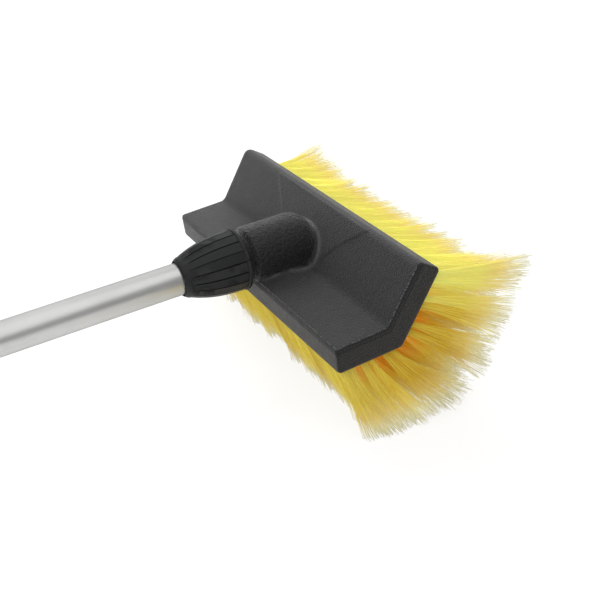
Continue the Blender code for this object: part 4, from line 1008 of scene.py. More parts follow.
def blend_junction(block, sizes):
    """Smooth the moulding where the boss and its feet run into the wings."""
    points = point_array(block)
    _, station, height = from_boss(points)
    front, back = (sizes.boss_rim - distance for distance in JUNCTION_RIM)
    weights = 1 - smoothstep(*JUNCTION_SIDES, np.abs(points[:, 0]))
    weights *= 1 - smoothstep(front, back, station)
    weights *= smoothstep(*JUNCTION_HEIGHT, height)
    weights *= 1 - smoothstep(*JUNCTION_TOP, points @ np.array(UPPER_DIRECTION))
    area = block.vertex_groups.new(name="junction")
    for index in np.nonzero(weights > LEAST_WEIGHT)[0]:
        area.add([int(index)], float(weights[index]), "REPLACE")
    apply_modifier(block, "SMOOTH", factor=0.5, iterations=2, vertex_group="junction")
    block.vertex_groups.clear()


# Widths of the painted marks on the moulding: highlight along the bead and shade in the creases
RING_HIGHLIGHT = 0.0016
FLANK_HIGHLIGHT = 0.0028
PAD_SHADE = 0.0011
FOOT_SHADE = 0.0012
NEAR_PAD_SHADE = 0.25
FOOT_SHADE_SHARE = 0.8


def mark_boss(block, sizes):
    """Store where the moulding is the smooth boss, the painted highlight along its bead, and the
    painted shade in the creases of the fan pad and round the mound's foot.
    """
    points = point_array(block)
    reach, _, height = from_boss(points)
    x, y, up = points[:, 0], points[:, 1], points @ np.array(UPPER_DIRECTION)
    mask = 1 - smoothstep(sizes.boss_radius + 0.0005, sizes.boss_radius + 0.003, reach)
    store(block, "boss", mask * smoothstep(0.0008, 0.0025, height))
    ring = np.hypot(x / FLARE_HALF_WIDTH, (up - FLARE_CENTRE) / FLARE_HALF_LENGTH) - 1
    edge = hill(ring * FLARE_HALF_LENGTH, RING_HIGHLIGHT) * smoothstep(-0.003, 0.003, up)
    slope = (FLANK_TOP.x - FLANK_FOOT.x) / (FLANK_TOP.y - FLANK_FOOT.y)
    flank = FLANK_FOOT.x + (y - FLANK_FOOT.y) * slope
    flank_highlight = hill(np.abs(x) - flank, FLANK_HIGHLIGHT)
    flank_highlight *= smoothstep(FLANK_FOOT.y - 0.001, FLANK_FOOT.y + 0.0005, y) * (y < 0.002)
    edge = np.maximum(edge, flank_highlight) * (1 - smoothstep(0.0025, 0.004, height))
    # Painted highlight along the bead, kept under the name rim
    store(block, "rim", edge * smoothstep(-0.001, 0.0, height))
    crease = hill(np.abs(x) - np.interp(up, *zip(*PAD_STATIONS)), PAD_SHADE)
    crease *= smoothstep(0.012, 0.020, up) * np.where(x > 0, NEAR_PAD_SHADE, 1.0)
    oval = np.hypot(x / MOUND_HALF_WIDTH, (y - MOUND_CENTRE) / MOUND_HALF_LENGTH) - 1
    foot = hill(oval * MOUND_HALF_LENGTH, FOOT_SHADE) * (y < -0.004)
    crease = np.maximum(crease, FOOT_SHADE_SHARE * foot)
    # Painted shade in the creases beside the fan pad and round the mound's foot
    store(block, "crease", crease * smoothstep(-0.003, -0.001, height))


def store(thing, name, values):
    """Store one value per point under a name."""
    layer = thing.data.attributes.new(name, "FLOAT", "POINT")
    layer.data.foreach_set("value", values.astype(np.float32))


SPRAY_HOLES = 11
SPRAY_HOLE_RADIUS = 0.0015
SPRAY_HOLE_REACH = 0.01
SPRAY_HOLE_SEGMENTS = 24


class BROOM_OT_spray_bar(Operator):
    """Model the spray bar with its row of holes."""

    bl_idname = "broom.make_spray_bar"
    bl_label = "Spray bar"

    def execute(self, context):
        low = (BAR_HALF_WIDTH + GAP) * math.tan((math.pi - WING_ANGLE) / 2)
        bar = bend_bar("spray_bar_moulding", BAR_HALF_WIDTH, low, low + BAR_THICKNESS, BAR_HALF)
        holes = []
        for index in range(SPRAY_HOLES):
            hole = lathe(f"hole_{index}", [(SPRAY_HOLE_RADIUS, -SPRAY_HOLE_REACH),
                                           (SPRAY_HOLE_RADIUS, SPRAY_HOLE_REACH)],
                         SPRAY_HOLE_SEGMENTS)
            x = (index - (SPRAY_HOLES - 1) / 2) * 2 * BAR_HALF / SPRAY_HOLES
            set_down(hole, bend_frame(OUTER_CORNER + ACROSS * x))
            holes.append(hole)
        combine(bar, join_pieces(*holes), "DIFFERENCE")
        soften(bar, 0.0003)
        smooth(bar)
        set_down(bar, BLOCK_FRAME)
        dress(bar, "head", "spray_plastic",
              moulded("spray_moulding", context.scene.broom_colours), "spray_bar")
        return {"FINISHED"}


# The bristles: how their tufts stand in rows, closer together at the block's ends
BEND_MARGIN = 0.0046
FREE_MARGIN = 0.0035
END_MARGIN = 0.0055
STRIPS = 3
ROWS = 2
STAGGER = 0.22
ZIGZAG = 0.25
PLACE_WANDER = 0.0004
GATHER = 0.40
FAR_GATHER_SHARE = 0.4
GATHER_RANGE = (0.100, 0.117)
BEND_CROWD = 0.0018
ROOT_DEPTH = 0.0015
SEED_STEP = 100

# The fan's angles, and how it opens towards the far end (-1) and the near end (1)
HEEL_ANGLE = math.radians(-71.0)
HEEL_OPENING = math.radians(11.0)
LIP_ANGLE = math.radians(-22.5)
LIP_OPENING = {-1: math.radians(18.0), 1: math.radians(23.0)}
BEND_LEAN = math.radians(7.0)
SPLAY_POWER = 8
END_SPLAY = {-1: 0.0185, 1: 0.0270}
END_REACH = 0.0165
END_RAGGED = 0.0030
SIDE_SPREAD = 0.05

# Lengths: ragged, fuller at the near end, and trimmed along the lip
TUFT_TRIM = 0.012
RAGGED = 0.022
BEND_GAIN, BEND_SHIFT, BEND_WIDTH = 0.27, 0.03, 0.12
LIP_GAIN = 0.12
LIP_GAIN_RANGE = (0.65, 0.95)
LIP_TRIM = 0.105
LIP_TRIM_RANGE = (0.7, 1.0)
NEAR_TRIM, FAR_TRIM = 0.35, 0.65
FAR_TRIM_RANGE = (0.0, 0.06)

# How the filaments of a tuft part, and how they start: some along the face, inner ones closing
# the gap at the bend
TUFT_LEAN = 0.0018
TIP_SPREAD = 2.4
SIDE_TIP_SHARE = 0.8
BEND_SPREAD, END_SPREAD = 0.9, 1.1
TIP_WANDER = 0.0014
STRAY_SHARE = 0.004
STRAY_WANDER = 0.0065
START_FACE = 0.25
START_SPREAD = 0.4
START_REACH = 0.5
CLOSING_WIDTH = 0.10
CLOSING_RANGE = (0.105, 0.120)

# Where light stands inside the tufts, and where it shines through them
INSIDE_ROWS = (0.03, 0.10)
INSIDE_ENDS = (0.003, 0.010)
LIT_LIP = (0.72, 0.98)
LIT_HEEL = (0.04, 0.25)
HEEL_LIGHT = 0.25


class BROOM_OT_bristles(Operator):
    """Model one filament, and copy it into tufts along every strip of the block."""

    bl_idname = "broom.make_bristles"
    bl_label = "Bristles"

    def execute(self, context):
        sizes = context.scene.broom_sizes
        shape, faces = one_filament(sizes)
        material = bristle_material(context.scene.broom_colours)
        for seed, (label, outward, direction, inner) in enumerate((
                ("lower", LOWER_OUTWARD, LOWER_DIRECTION, sizes.lower_wing),
                ("upper", UPPER_OUTWARD, UPPER_DIRECTION, sizes.upper_wing))):
            for strip in range(STRIPS):
                chance = np.random.default_rng(SEED_STEP * seed + strip)
                paths = filament_paths(sizes, chance, label == "lower", outward, direction,
                                       inner, strip)
                tufts = copy_filaments(f"{label}_tufts_{strip + 1}", shape, faces, *paths,
                                       chance, sizes.filaments)
                dress(tufts, "head", "bristle_yellow", material,
                      f"{label}_bristles_{strip + 1}")
        return {"FINISHED"}


FILAMENT_CORNERS = 3
FILAMENT_LEVELS = (0.0, 0.26, 0.52, 0.76, 0.91, 1.0)
TIP_FROM = 0.9
TAPER, TIP_TAPER = 0.95, 0.86


def one_filament(sizes):
    """One filament: a thin rod drawn out in steps, with its points and faces."""
    thing = start_piece("filament", bpy.ops.mesh.primitive_circle_add,
                        vertices=FILAMENT_CORNERS, radius=sizes.bristle_radius,
                        fill_type="NOTHING")
    bpy.ops.mesh.edge_face_add()
    bpy.ops.mesh.select_mode(type="FACE")
    for low, high in zip(FILAMENT_LEVELS, FILAMENT_LEVELS[1:]):
        extrude((0, 0, high - low))
        taper = TAPER if high < TIP_FROM else TIP_TAPER
        resize((taper, taper, 1), (0, 0, high))
    close_seams()
    deselect()
    points = point_array(thing)
    faces = [tuple(face.vertices) for face in thing.data.polygons]
    bpy.data.objects.remove(thing)
    return points, faces


def fan_turn(x, share, bend_share, half):
    """The fan's angle at each place, and how much it opens towards the ends."""
    splay = (np.abs(x) / half) ** SPLAY_POWER
    heel = HEEL_ANGLE - HEEL_OPENING * splay
    lip = LIP_ANGLE + np.where(x > 0, LIP_OPENING[1], LIP_OPENING[-1]) * splay
    over = np.where(share < bend_share, share / bend_share,
                    (share - 1) / (1 - bend_share))
    lean = BEND_LEAN * np.sign(over) * over ** 2
    return heel + (lip - heel) * share + lean, splay


def tuft_places(sizes, chance, wing, strip):
    """The tufts of one strip: their place along the block, and across the wing's face as the
    fan is shared out and at the root, where the strip's tufts stand closer together."""
    pitch = (wing - BEND_MARGIN - FREE_MARGIN) / STRIPS
    run = sizes.block_length - 2 * END_MARGIN
    x, s = [], []
    for row in range(ROWS):
        for tuft in range(sizes.tufts_long):
            stagger = STAGGER if row % 2 else -STAGGER
            if tuft in (0, sizes.tufts_long - 1):
                stagger = 0.0
            x.append(((tuft + 0.5 + stagger) / sizes.tufts_long - 0.5) * run)
            zigzag = ZIGZAG if tuft % 2 else -ZIGZAG
            s.append(BEND_MARGIN + (strip + (row + 0.5 + zigzag) / ROWS) * pitch)
    many = len(x)
    x = np.array(x) + chance.normal(0, PLACE_WANDER, many)
    s = np.array(s) + chance.normal(0, PLACE_WANDER, many)
    middle = BEND_MARGIN + (strip + 0.5) * pitch
    shift = (middle - s) * np.where(x > 0, GATHER, FAR_GATHER_SHARE * GATHER)
    shift -= BEND_CROWD if strip == 0 else 0
    return x, s, s + shift * smoothstep(*GATHER_RANGE, np.abs(x))


def end_rows(wing):
    """How far a wing's outermost row stands from its edge."""
    return FREE_MARGIN + (wing - BEND_MARGIN - FREE_MARGIN) / STRIPS / ROWS / 2


def filament_lengths(sizes, chance, trim, x, share, bend, splay):
    """How long each filament is."""
    size = sizes.bristle_length * (1 + trim - np.abs(chance.normal(0, RAGGED, len(x))))
    gain = BEND_GAIN * bend + LIP_GAIN * smoothstep(*LIP_GAIN_RANGE, share)
    short = LIP_TRIM * smoothstep(*LIP_TRIM_RANGE, share) * (1 - splay)
    short *= NEAR_TRIM + FAR_TRIM * smoothstep(*FAR_TRIM_RANGE, -x)
    return size * (1 + gain * splay * (x > 0) - short)


def filament_paths(sizes, chance, heel_side, outward, direction, inner, strip):
    """Root, starting direction and reach of every filament of a strip, in the block's frame,
    and its masks of light."""
    thick = sizes.block_thickness
    corner = np.array(BEND_OUTWARD * (thick / math.sin(WING_ANGLE / 2)))
    across, face, direction = np.array(ACROSS), np.array(outward), np.array(direction)
    extra = thick * math.tan((math.pi - WING_ANGLE) / 2)
    lower, upper = sizes.lower_wing + extra, sizes.upper_wing + extra
    tufts = tuft_places(sizes, chance, inner + extra, strip)
    many = sizes.filaments
    lean = np.repeat(chance.normal(0, TUFT_LEAN, (len(tufts[0]), 3)), many, axis=0)
    trim = np.repeat(chance.normal(0, TUFT_TRIM, len(tufts[0])), many)
    x, s, foot = (np.repeat(each, many) for each in tufts)
    total = len(x)
    ring = sizes.tuft_radius * np.sqrt(chance.random(total))
    turn = chance.random(total) * 2 * math.pi
    off_x, off_s = ring * np.cos(turn), ring * np.sin(turn)

    first, last = end_rows(lower), lower + upper - end_rows(upper)
    share = ((lower - s if heel_side else lower + s) - first) / (last - first)
    bend_share = (lower - first) / (last - first)
    angle, splay = fan_turn(x, np.clip(share, 0, 1), bend_share, sizes.block_length / 2)
    bend = hill(share - bend_share + BEND_SHIFT, BEND_WIDTH)
    size = filament_lengths(sizes, chance, trim, x, share, bend, splay)

    side = x * SIDE_SPREAD + np.where(x > 0, END_SPLAY[1], -END_SPLAY[-1]) * splay
    swing = across * (side + off_x * TIP_SPREAD * SIDE_TIP_SHARE)[:, None]
    fan = np.stack([np.zeros(total), np.cos(angle), np.sin(angle)], 1)
    cross = np.stack([np.zeros(total), -np.sin(angle), np.cos(angle)], 1)
    toward = np.sign(np.sum(cross * direction, axis=1))
    part = toward * off_s * TIP_SPREAD * (1 + BEND_SPREAD * bend + END_SPREAD * splay)
    reaches = fan * size[:, None] + swing + lean
    reaches += cross * part[:, None]
    reaches += direction * (s - foot)[:, None]
    reaches += chance.normal(0, TIP_WANDER, (total, 3))
    stray = chance.random(total) < STRAY_SHARE
    reaches[stray] += chance.normal(0, STRAY_WANDER, (np.count_nonzero(stray), 3))
    roots = corner + direction * (foot + off_s)[:, None] - face * ROOT_DEPTH
    roots += across * (x + off_x)[:, None]
    widest = BLOCK_HALF + END_REACH - chance.uniform(0, END_RAGGED, total)
    reaches[:, 0] = np.clip(roots[:, 0] + reaches[:, 0], -widest, widest) - roots[:, 0]
    reaches = keep_over_floor(roots, reaches, chance)

    closing = hill(share - bend_share, CLOSING_WIDTH)
    closing *= 1 - smoothstep(*CLOSING_RANGE, np.abs(x))
    pull = (START_FACE - closing)[:, None]
    starts = fan * (1 - pull) + face * pull + across * (x * START_SPREAD)[:, None]
    starts *= sizes.bristle_length * START_REACH
    return roots, starts, reaches, light_masks(sizes, share, x)


def light_masks(sizes, share, x):
    """Which filaments stand inside the tufts, and which have light shining through them."""
    inside = smoothstep(*INSIDE_ROWS, np.minimum(share, 1 - share))
    inside *= smoothstep(*INSIDE_ENDS, sizes.block_length / 2 - END_MARGIN - np.abs(x))
    lit = np.maximum(smoothstep(*LIT_LIP, share),
                     HEEL_LIGHT * (1 - smoothstep(*LIT_HEEL, share)))
    return inside, lit


FLOOR_GAP = (0.0004, 0.0016)
LEAST_HEIGHT = 0.0002


def keep_over_floor(roots, reaches, chance):
    """Shorten the filaments that would reach under the floor."""
    place = np.array(BLOCK_FRAME)
    top = roots @ place[2, :3] + place[2, 3]
    drop = -(reaches @ place[2, :3])
    limit = top - chance.uniform(*FLOOR_GAP, len(top))
    return reaches * np.minimum(1, limit / np.maximum(drop, TINY))[:, None]


ROLL_GUIDE = (0.0, 0.35, 0.94)
THICKNESS_RANGE = (0.8, 1.25)
CURL = 0.0009
TUFT_TONE, FILAMENT_TONE = 0.45, 0.55


def copy_filaments(name, shape, faces, roots, starts, reaches, masks, chance, many):
    """One mesh with the filament copied along every path."""
    total, points = len(roots), len(shape)
    t = shape[:, 2]
    ahead = reaches / np.linalg.norm(reaches, axis=1)[:, None]
    first = np.cross(ahead, np.array(ROLL_GUIDE))
    first /= np.linalg.norm(first, axis=1)[:, None]
    second = np.cross(ahead, first)
    turn = chance.random(total) * 2 * math.pi
    thick = chance.uniform(*THICKNESS_RANGE, total)
    cos, sin = (np.cos(turn) * thick)[:, None], (np.sin(turn) * thick)[:, None]
    u = shape[:, 0] * cos - shape[:, 1] * sin
    v = shape[:, 0] * sin + shape[:, 1] * cos
    middle = (2 * t * (1 - t))[:, None] * starts[:, None, :]
    curl = chance.normal(0, CURL, (total, 3))[:, None, :] * (t ** 3)[:, None]
    co = (roots[:, None, :] + middle + (t * t)[:, None] * reaches[:, None, :] + curl
          + u[:, :, None] * first[:, None, :] + v[:, :, None] * second[:, None, :])
    place = np.array(BLOCK_FRAME)
    co = co.reshape(-1, 3) @ place[:3, :3].T + place[:3, 3]
    co[:, 2] = np.maximum(co[:, 2], LEAST_HEIGHT)
    copies = [np.array(face) + np.arange(total)[:, None] * points for face in faces]
    mesh = bpy.data.meshes.new(name)
    mesh.from_pydata(co.tolist(), [], [row for rows in copies for row in rows.tolist()])
    corners = np.concatenate([rows.reshape(-1) for rows in copies])
    tufts = np.repeat(chance.random(total // many), many)
    tone = TUFT_TONE * tufts + FILAMENT_TONE * chance.random(total)
    strand = np.stack([np.repeat(tone, points)[corners], np.tile(t, total)[corners]], 1)
    mesh.uv_layers.new(name="strand").data.foreach_set("uv", strand.reshape(-1))
    mesh.shade_smooth()
    thing = bpy.data.objects.new(name, mesh)
    bpy.context.collection.objects.link(thing)
    for label, mask in zip(("inside", "lit"), masks):
        store(thing, label, np.repeat(mask, points))
    return thing


# The collar nut, the tube and the grip

FLANGE_ROUND = 0.0006
FLANGE_EDGE = 0.0022
FLANGE_END = 0.0029
NUT_CHAMBER_RADIUS = 0.0188
NUT_CHAMBER_END = 0.0294
NUT_BORE_RADIUS = TUBE_RADIUS + 0.0006
NUT_WAIST = 0.0229
NUT_RING_RADIUS = 0.0155
NUT_RING_LENGTH = 0.0042
NUT_RING_STEP = 0.0008
NUT_MOUTH = ((0.0010, 0.0012), (0.0022, 0.0))
BELL_POWER = 2.4
BELL_STEPS = 16
FACET_CORNERS = 4
GROOVE_LIP = 0.0011 / NUT_WAIST
GROOVE_BOTTOM = 0.0006 / NUT_WAIST
SAME_ANGLE = 0.002


class BROOM_OT_nut(Operator):
    """Model the bell-shaped collar nut with its grooved facets."""

    bl_idname = "broom.make_nut"
    bl_label = "Collar nut"

    def execute(self, context):
        sizes = context.scene.broom_sizes
        nut = grooved_bell(sizes)
        flange = lathe("flange", [(NUT_RADIUS - FLANGE_ROUND, 0.0), (NUT_RADIUS, FLANGE_ROUND),
                                  (NUT_RADIUS, FLANGE_EDGE),
                                  (NUT_RADIUS - FLANGE_ROUND, FLANGE_END)], WIDE_SEGMENTS)
        combine(nut, flange, "UNION")
        chamber = lathe("chamber", [(NUT_CHAMBER_RADIUS, -OVERRUN),
                                    (NUT_CHAMBER_RADIUS, NUT_CHAMBER_END),
                                    (NUT_BORE_RADIUS, NUT_CHAMBER_END),
                                    (NUT_BORE_RADIUS, sizes.nut_length + OVERRUN)],
                        WIDE_SEGMENTS)
        combine(nut, chamber, "DIFFERENCE")
        soften(nut, 0.00022, 2, 28.0)
        smooth(nut, 32.0)
        set_down(nut, NUT_FRAME)
        material = moulded("nut_moulding", context.scene.broom_colours)
        shader = material.node_tree.nodes["Principled BSDF"]
        shader.inputs["Specular IOR Level"].default_value = MOULDED_GLOSS
        dress(nut, "nut", "nut_plastic", material, "collar_nut")
        return {"FINISHED"}


def grooved_bell(sizes):
    """The bell: a circle of facet corners drawn out through the bell's profile."""
    end, pitch = sizes.nut_length, 2 * math.pi / sizes.nut_facets
    bell = start_piece("nut_moulding", bpy.ops.mesh.primitive_circle_add,
                       vertices=FACET_CORNERS * sizes.nut_facets, radius=NUT_WAIST,
                       fill_type="NGON")
    gather_columns(bell, pitch)
    first, last = FLANGE_END, end - NUT_RING_LENGTH
    profile = [(NUT_WAIST, first)]
    for step in range(1, BELL_STEPS + 1):
        share = step / BELL_STEPS
        profile.append((NUT_WAIST - (NUT_WAIST - NUT_RING_RADIUS) * share ** BELL_POWER,
                        first + (last - first) * share))
    profile.append((NUT_RING_RADIUS, last + NUT_RING_STEP))
    profile += [(NUT_RING_RADIUS - inward, end - back) for inward, back in NUT_MOUTH]
    pick(bell, "faces", lambda face: True)
    for (radius, height), (far, top) in zip([(NUT_WAIST, 0.0)] + profile, profile):
        extrude((0, 0, top - height))
        resize((far / radius, far / radius, 1), (0, 0, top))
    for index, (far, top) in enumerate(profile[:BELL_STEPS]):
        depth = sizes.nut_groove * min(1.0, (BELL_STEPS - index) / 2)
        pick(bell, "verts", lambda vert: abs(vert.co.z - top) < TINY
             and abs(angle_from(vert.co, 0.0, pitch)) < GROOVE_BOTTOM / 2)
        share = (far - depth) / far
        resize((share, share, 1), (0, 0, top))
    close_seams()
    deselect()
    return bell


def gather_columns(bell, pitch):
    """Turn the evenly spaced corners so that four of them stand at each groove."""
    for corner, goal in ((1, GROOVE_LIP / 4), (2, GROOVE_LIP / 2), (3, pitch - GROOVE_LIP / 2),
                         (0, -GROOVE_LIP / 4)):
        start = corner * pitch / FACET_CORNERS
        pick(bell, "verts", lambda vert: abs(angle_from(vert.co, start, pitch)) < SAME_ANGLE)
        bpy.ops.transform.rotate(value=start - goal, orient_axis="Z",
                                 center_override=(0, 0, 0))


def angle_from(place, start, pitch):
    """The angle from the nearest of the angles that follow a start at a pitch."""
    return (math.atan2(place.y, place.x) - start + pitch / 2) % pitch - pitch / 2


class BROOM_OT_tube(Operator):
    """Model the aluminium tube."""

    bl_idname = "broom.make_tube"
    bl_label = "Tube"

    def execute(self, context):
        levels = [(TUBE_BORE, TUBE_START), (TUBE_RADIUS, TUBE_START), (TUBE_RADIUS, TUBE_END),
                  (TUBE_BORE, TUBE_END)]
        tube = lathe("pole_tube", levels, TUBE_SEGMENTS, closed=True)
        soften(tube, 0.0003)
        smooth(tube)
        set_down(tube, HANDLE_FRAME)
        dress(tube, "pole", "tube_aluminium", tube_material(context.scene.broom_colours),
              "handle_tube")
        return {"FINISHED"}


GRIP_BAND = 0.012
GRIP_DIP = 0.0010
GRIP_STEPS = 10
GRIP_RIM_WIDTH = 0.0012


class BROOM_OT_grip(Operator):
    """Model the soft grip with its row of hollows."""

    bl_idname = "broom.make_grip"
    bl_label = "Grip"

    def execute(self, context):
        sizes = context.scene.broom_sizes
        bore, outer, size = TUBE_RADIUS + GAP, GRIP_RADIUS, sizes.grip_length
        pitch = (size - 2 * GRIP_BAND) / sizes.grip_ridges
        levels = [(bore, -size), *round_rim(outer, -size, 1, GRIP_RIM_WIDTH)]
        for step in range(sizes.grip_ridges * GRIP_STEPS + 1):
            dip = 0.5 - 0.5 * math.cos(2 * math.pi * step / GRIP_STEPS)
            levels.append((outer - GRIP_DIP * dip,
                           -size + GRIP_BAND + pitch * step / GRIP_STEPS))
        levels += [*reversed(round_rim(outer, 0.0, -1, GRIP_RIM_WIDTH)), (bore, 0.0)]
        grip = lathe("grip_moulding", levels, MIDDLE_SEGMENTS, closed=True)
        smooth(grip)
        set_down(grip, VALVE_FRAME)
        dress(grip, "pole", "grip_rubber",
              moulded("grip_rubber", context.scene.broom_colours), "grip_sleeve")
        return {"FINISHED"}


# The valve and the hose connector; stations run along the handle line from the tube's end,
# and heights run up from it

VALVE_BORE = 0.0055
SPIGOT_RADIUS = 0.0105
SPIGOT_LENGTH = 0.028
RING_GROOVE_RADIUS = 0.0086
RING_GROOVE = (-0.016, -0.0128)
SHOULDER_RADIUS = 0.0148
SHOULDER_END = 0.005
HOUSING_CHAMFER = 0.0015
HOUSING_END = 0.045
CHAMBER_RADIUS = 0.0095
CHAMBER_FLOOR = 0.012
BALL_STATION = 0.024
STEM_BOSS_RADIUS = 0.0085
STEM_BOSS_HEIGHTS = (0.013, 0.024)
STEM_POCKET_RADIUS = 0.0054
STEM_POCKET_HEIGHTS = (0.00475, 0.012)
STEM_BORE_RADIUS = 0.0041
STEM_BORE_TOP = 0.026
STEM_BORE_SEGMENTS = 48


class BROOM_OT_valve(Operator):
    """Model the valve's housing."""

    bl_idname = "broom.make_valve"
    bl_label = "Valve housing"

    def execute(self, context):
        groove, groove_end = RING_GROOVE
        levels = [(VALVE_BORE, -SPIGOT_LENGTH), (SPIGOT_RADIUS, -SPIGOT_LENGTH),
                  (SPIGOT_RADIUS, groove), (RING_GROOVE_RADIUS, groove),
                  (RING_GROOVE_RADIUS, groove_end), (SPIGOT_RADIUS, groove_end),
                  (SPIGOT_RADIUS, GAP), (SHOULDER_RADIUS, GAP),
                  (SHOULDER_RADIUS, SHOULDER_END),
                  (VALVE_RADIUS, SHOULDER_END + HOUSING_CHAMFER),
                  (VALVE_RADIUS, HOUSING_END - HOUSING_CHAMFER),
                  (VALVE_RADIUS - HOUSING_CHAMFER, HOUSING_END),
                  (CHAMBER_RADIUS, HOUSING_END), (CHAMBER_RADIUS, CHAMBER_FLOOR),
                  (VALVE_BORE, CHAMBER_FLOOR)]
        body = lathe("valve_moulding", levels, WIDE_SEGMENTS, closed=True)
        boss = lathe("stem_boss", [(STEM_BOSS_RADIUS, height) for height in STEM_BOSS_HEIGHTS],
                     SMALL_SEGMENTS)
        low, top = STEM_POCKET_HEIGHTS
        cut = lathe("stem_bore", [(STEM_POCKET_RADIUS, low), (STEM_POCKET_RADIUS, top),
                                  (STEM_BORE_RADIUS, top), (STEM_BORE_RADIUS, STEM_BORE_TOP)],
                    STEM_BORE_SEGMENTS)
        turn = place_matrix(ACROSS, (0, 0, -1), (0, 1, 0), (0, 0, BALL_STATION))
        for tool, operation in ((boss, "UNION"), (cut, "DIFFERENCE")):
            set_down(tool, turn)
            combine(body, tool, operation)
        soften(body, 0.0005, 3)
        smooth(body)
        set_down(body, VALVE_FRAME)
        dress(body, "pole", "valve_plastic",
              moulded("valve_moulding", context.scene.broom_colours), "valve_body")
        return {"FINISHED"}


CONNECTOR_BORE = 0.0042
NECK_RADIUS = 0.0092
NECK_START = 0.036
FLANGE_START = 0.0453
STEM_START = FLANGE_START + 0.005
CATCH_START = FLANGE_START + 0.012
NOSE_START = FLANGE_START + 0.0175
CONNECTOR_END = FLANGE_START + 0.0285
STEM_RADIUS = 0.0078
CATCH_RADIUS = 0.0090
CATCH_RAMP = 0.002
NOSE_RADIUS = 0.0070
NOSE_CHAMFER = 0.0008
NOSE_GROOVE_RADIUS = 0.0056
NOSE_GROOVE = (0.003, 0.0056)
HOSE_RING_RADIUS = 0.0065
HOSE_RING_WIRE = 0.0008
HOSE_RING_CORNERS = 14
HOSE_RING_STRETCH = 1.25


class BROOM_OT_connector(Operator):
    """Model the hose connector and its rubber ring."""

    bl_idname = "broom.make_connector"
    bl_label = "Hose connector"

    def execute(self, context):
        groove, groove_end = (NOSE_START + step for step in NOSE_GROOVE)
        levels = [(CONNECTOR_BORE, NECK_START), (NECK_RADIUS, NECK_START),
                  (NECK_RADIUS, FLANGE_START), (FLANGE_RADIUS, FLANGE_START),
                  (FLANGE_RADIUS, STEM_START), (STEM_RADIUS, STEM_START),
                  (STEM_RADIUS, CATCH_START - CATCH_RAMP), (CATCH_RADIUS, CATCH_START),
                  (CATCH_RADIUS, NOSE_START - CATCH_RAMP), (NOSE_RADIUS, NOSE_START),
                  (NOSE_RADIUS, groove), (NOSE_GROOVE_RADIUS, groove),
                  (NOSE_GROOVE_RADIUS, groove_end), (NOSE_RADIUS, groove_end),
                  (NOSE_RADIUS, CONNECTOR_END - NOSE_CHAMFER),
                  (NOSE_RADIUS - NOSE_CHAMFER, CONNECTOR_END), (CONNECTOR_BORE, CONNECTOR_END)]
        connector = lathe("connector_moulding", levels, MIDDLE_SEGMENTS, closed=True)
        soften(connector, 0.0004, 3)
        smooth(connector)
        set_down(connector, VALVE_FRAME)
        colours = context.scene.broom_colours
        dress(connector, "pole", "valve_plastic", moulded("connector_moulding", colours),
              "hose_connector")
        ring = start_piece("connector_ring", bpy.ops.mesh.primitive_torus_add,
                           major_radius=HOSE_RING_RADIUS, minor_radius=HOSE_RING_WIRE,
                           major_segments=SMALL_SEGMENTS, minor_segments=HOSE_RING_CORNERS)
        resize((1, 1, HOSE_RING_STRETCH))
        close_seams()
        smooth(ring)
        set_down(ring, VALVE_FRAME @ Matrix.Translation((0, 0, (groove + groove_end) / 2)))
        dress(ring, "pole", "black_rubber", moulded("ring_rubber", colours), "hose_ring")
        return {"FINISHED"}


LEVER_BASE = 0.0243
LEVER_TOP = LEVER_BASE + 0.008
HUB_RADIUS = 0.0080
HUB_ROOF = 0.001
HUB_SEGMENTS = 72
SCREW_HOLE_RADIUS = 0.0019
SCREW_SEAT = LEVER_TOP + GAP
SHANK_RADIUS = 0.0016
SHANK_LENGTH = 0.0093
# The screw's head: (radius, height over its seat), and its slot
HEAD_LEVELS = ((0.0048, 0.0), (0.0048, 0.0015), (0.0044, 0.0022), (0.0034, 0.0026))
SLOT_SIZE = (0.012, 0.0012, 0.002)


class BROOM_OT_lever(Operator):
    """Model the valve lever and its screw."""

    bl_idname = "broom.make_lever"
    bl_label = "Valve lever"

    def execute(self, context):
        colours = context.scene.broom_colours
        lever = lathe("lever_moulding", [
            (STEM_BORE_RADIUS, LEVER_BASE), (HUB_RADIUS, LEVER_BASE), (HUB_RADIUS, LEVER_TOP),
            (SCREW_HOLE_RADIUS, LEVER_TOP), (SCREW_HOLE_RADIUS, LEVER_TOP - HUB_ROOF),
            (STEM_BORE_RADIUS, LEVER_TOP - HUB_ROOF)], HUB_SEGMENTS, closed=True)
        combine(lever, lever_arm(), "UNION")
        soften(lever, 0.0007, 3, 40.0)
        smooth(lever)
        set_down(lever, STEM_FRAME)
        dress(lever, "lever", "lever_yellow", moulded("lever_moulding", colours),
              "valve_lever")
        screw = lathe("screw_blank", [(SHANK_RADIUS, LEVER_TOP - SHANK_LENGTH),
                                      (SHANK_RADIUS, SCREW_SEAT)]
                      + [(radius, SCREW_SEAT + height) for radius, height in HEAD_LEVELS],
                      SMALL_SEGMENTS)
        slot = start_piece("slot", bpy.ops.mesh.primitive_cube_add, size=1.0)
        resize(SLOT_SIZE)
        move((0, 0, SCREW_SEAT + HEAD_LEVELS[-1][1]))
        combine(screw, slot, "DIFFERENCE")
        soften(screw, 0.00015)
        smooth(screw)
        set_down(screw, STEM_FRAME)
        dress(screw, "lever", "screw_steel", moulded("screw_metal", colours), "lever_screw")
        return {"FINISHED"}


ARM_START = 0.006
ARM_STRAIGHT = 0.0385
ARM_HALF_WIDTH = 0.006
ARM_THICKNESS = 0.004
ARM_DROP = 0.005
ARM_STEPS = 12
TIP_HALF_WIDTH = 0.0075
TIP_LIFT = 0.005


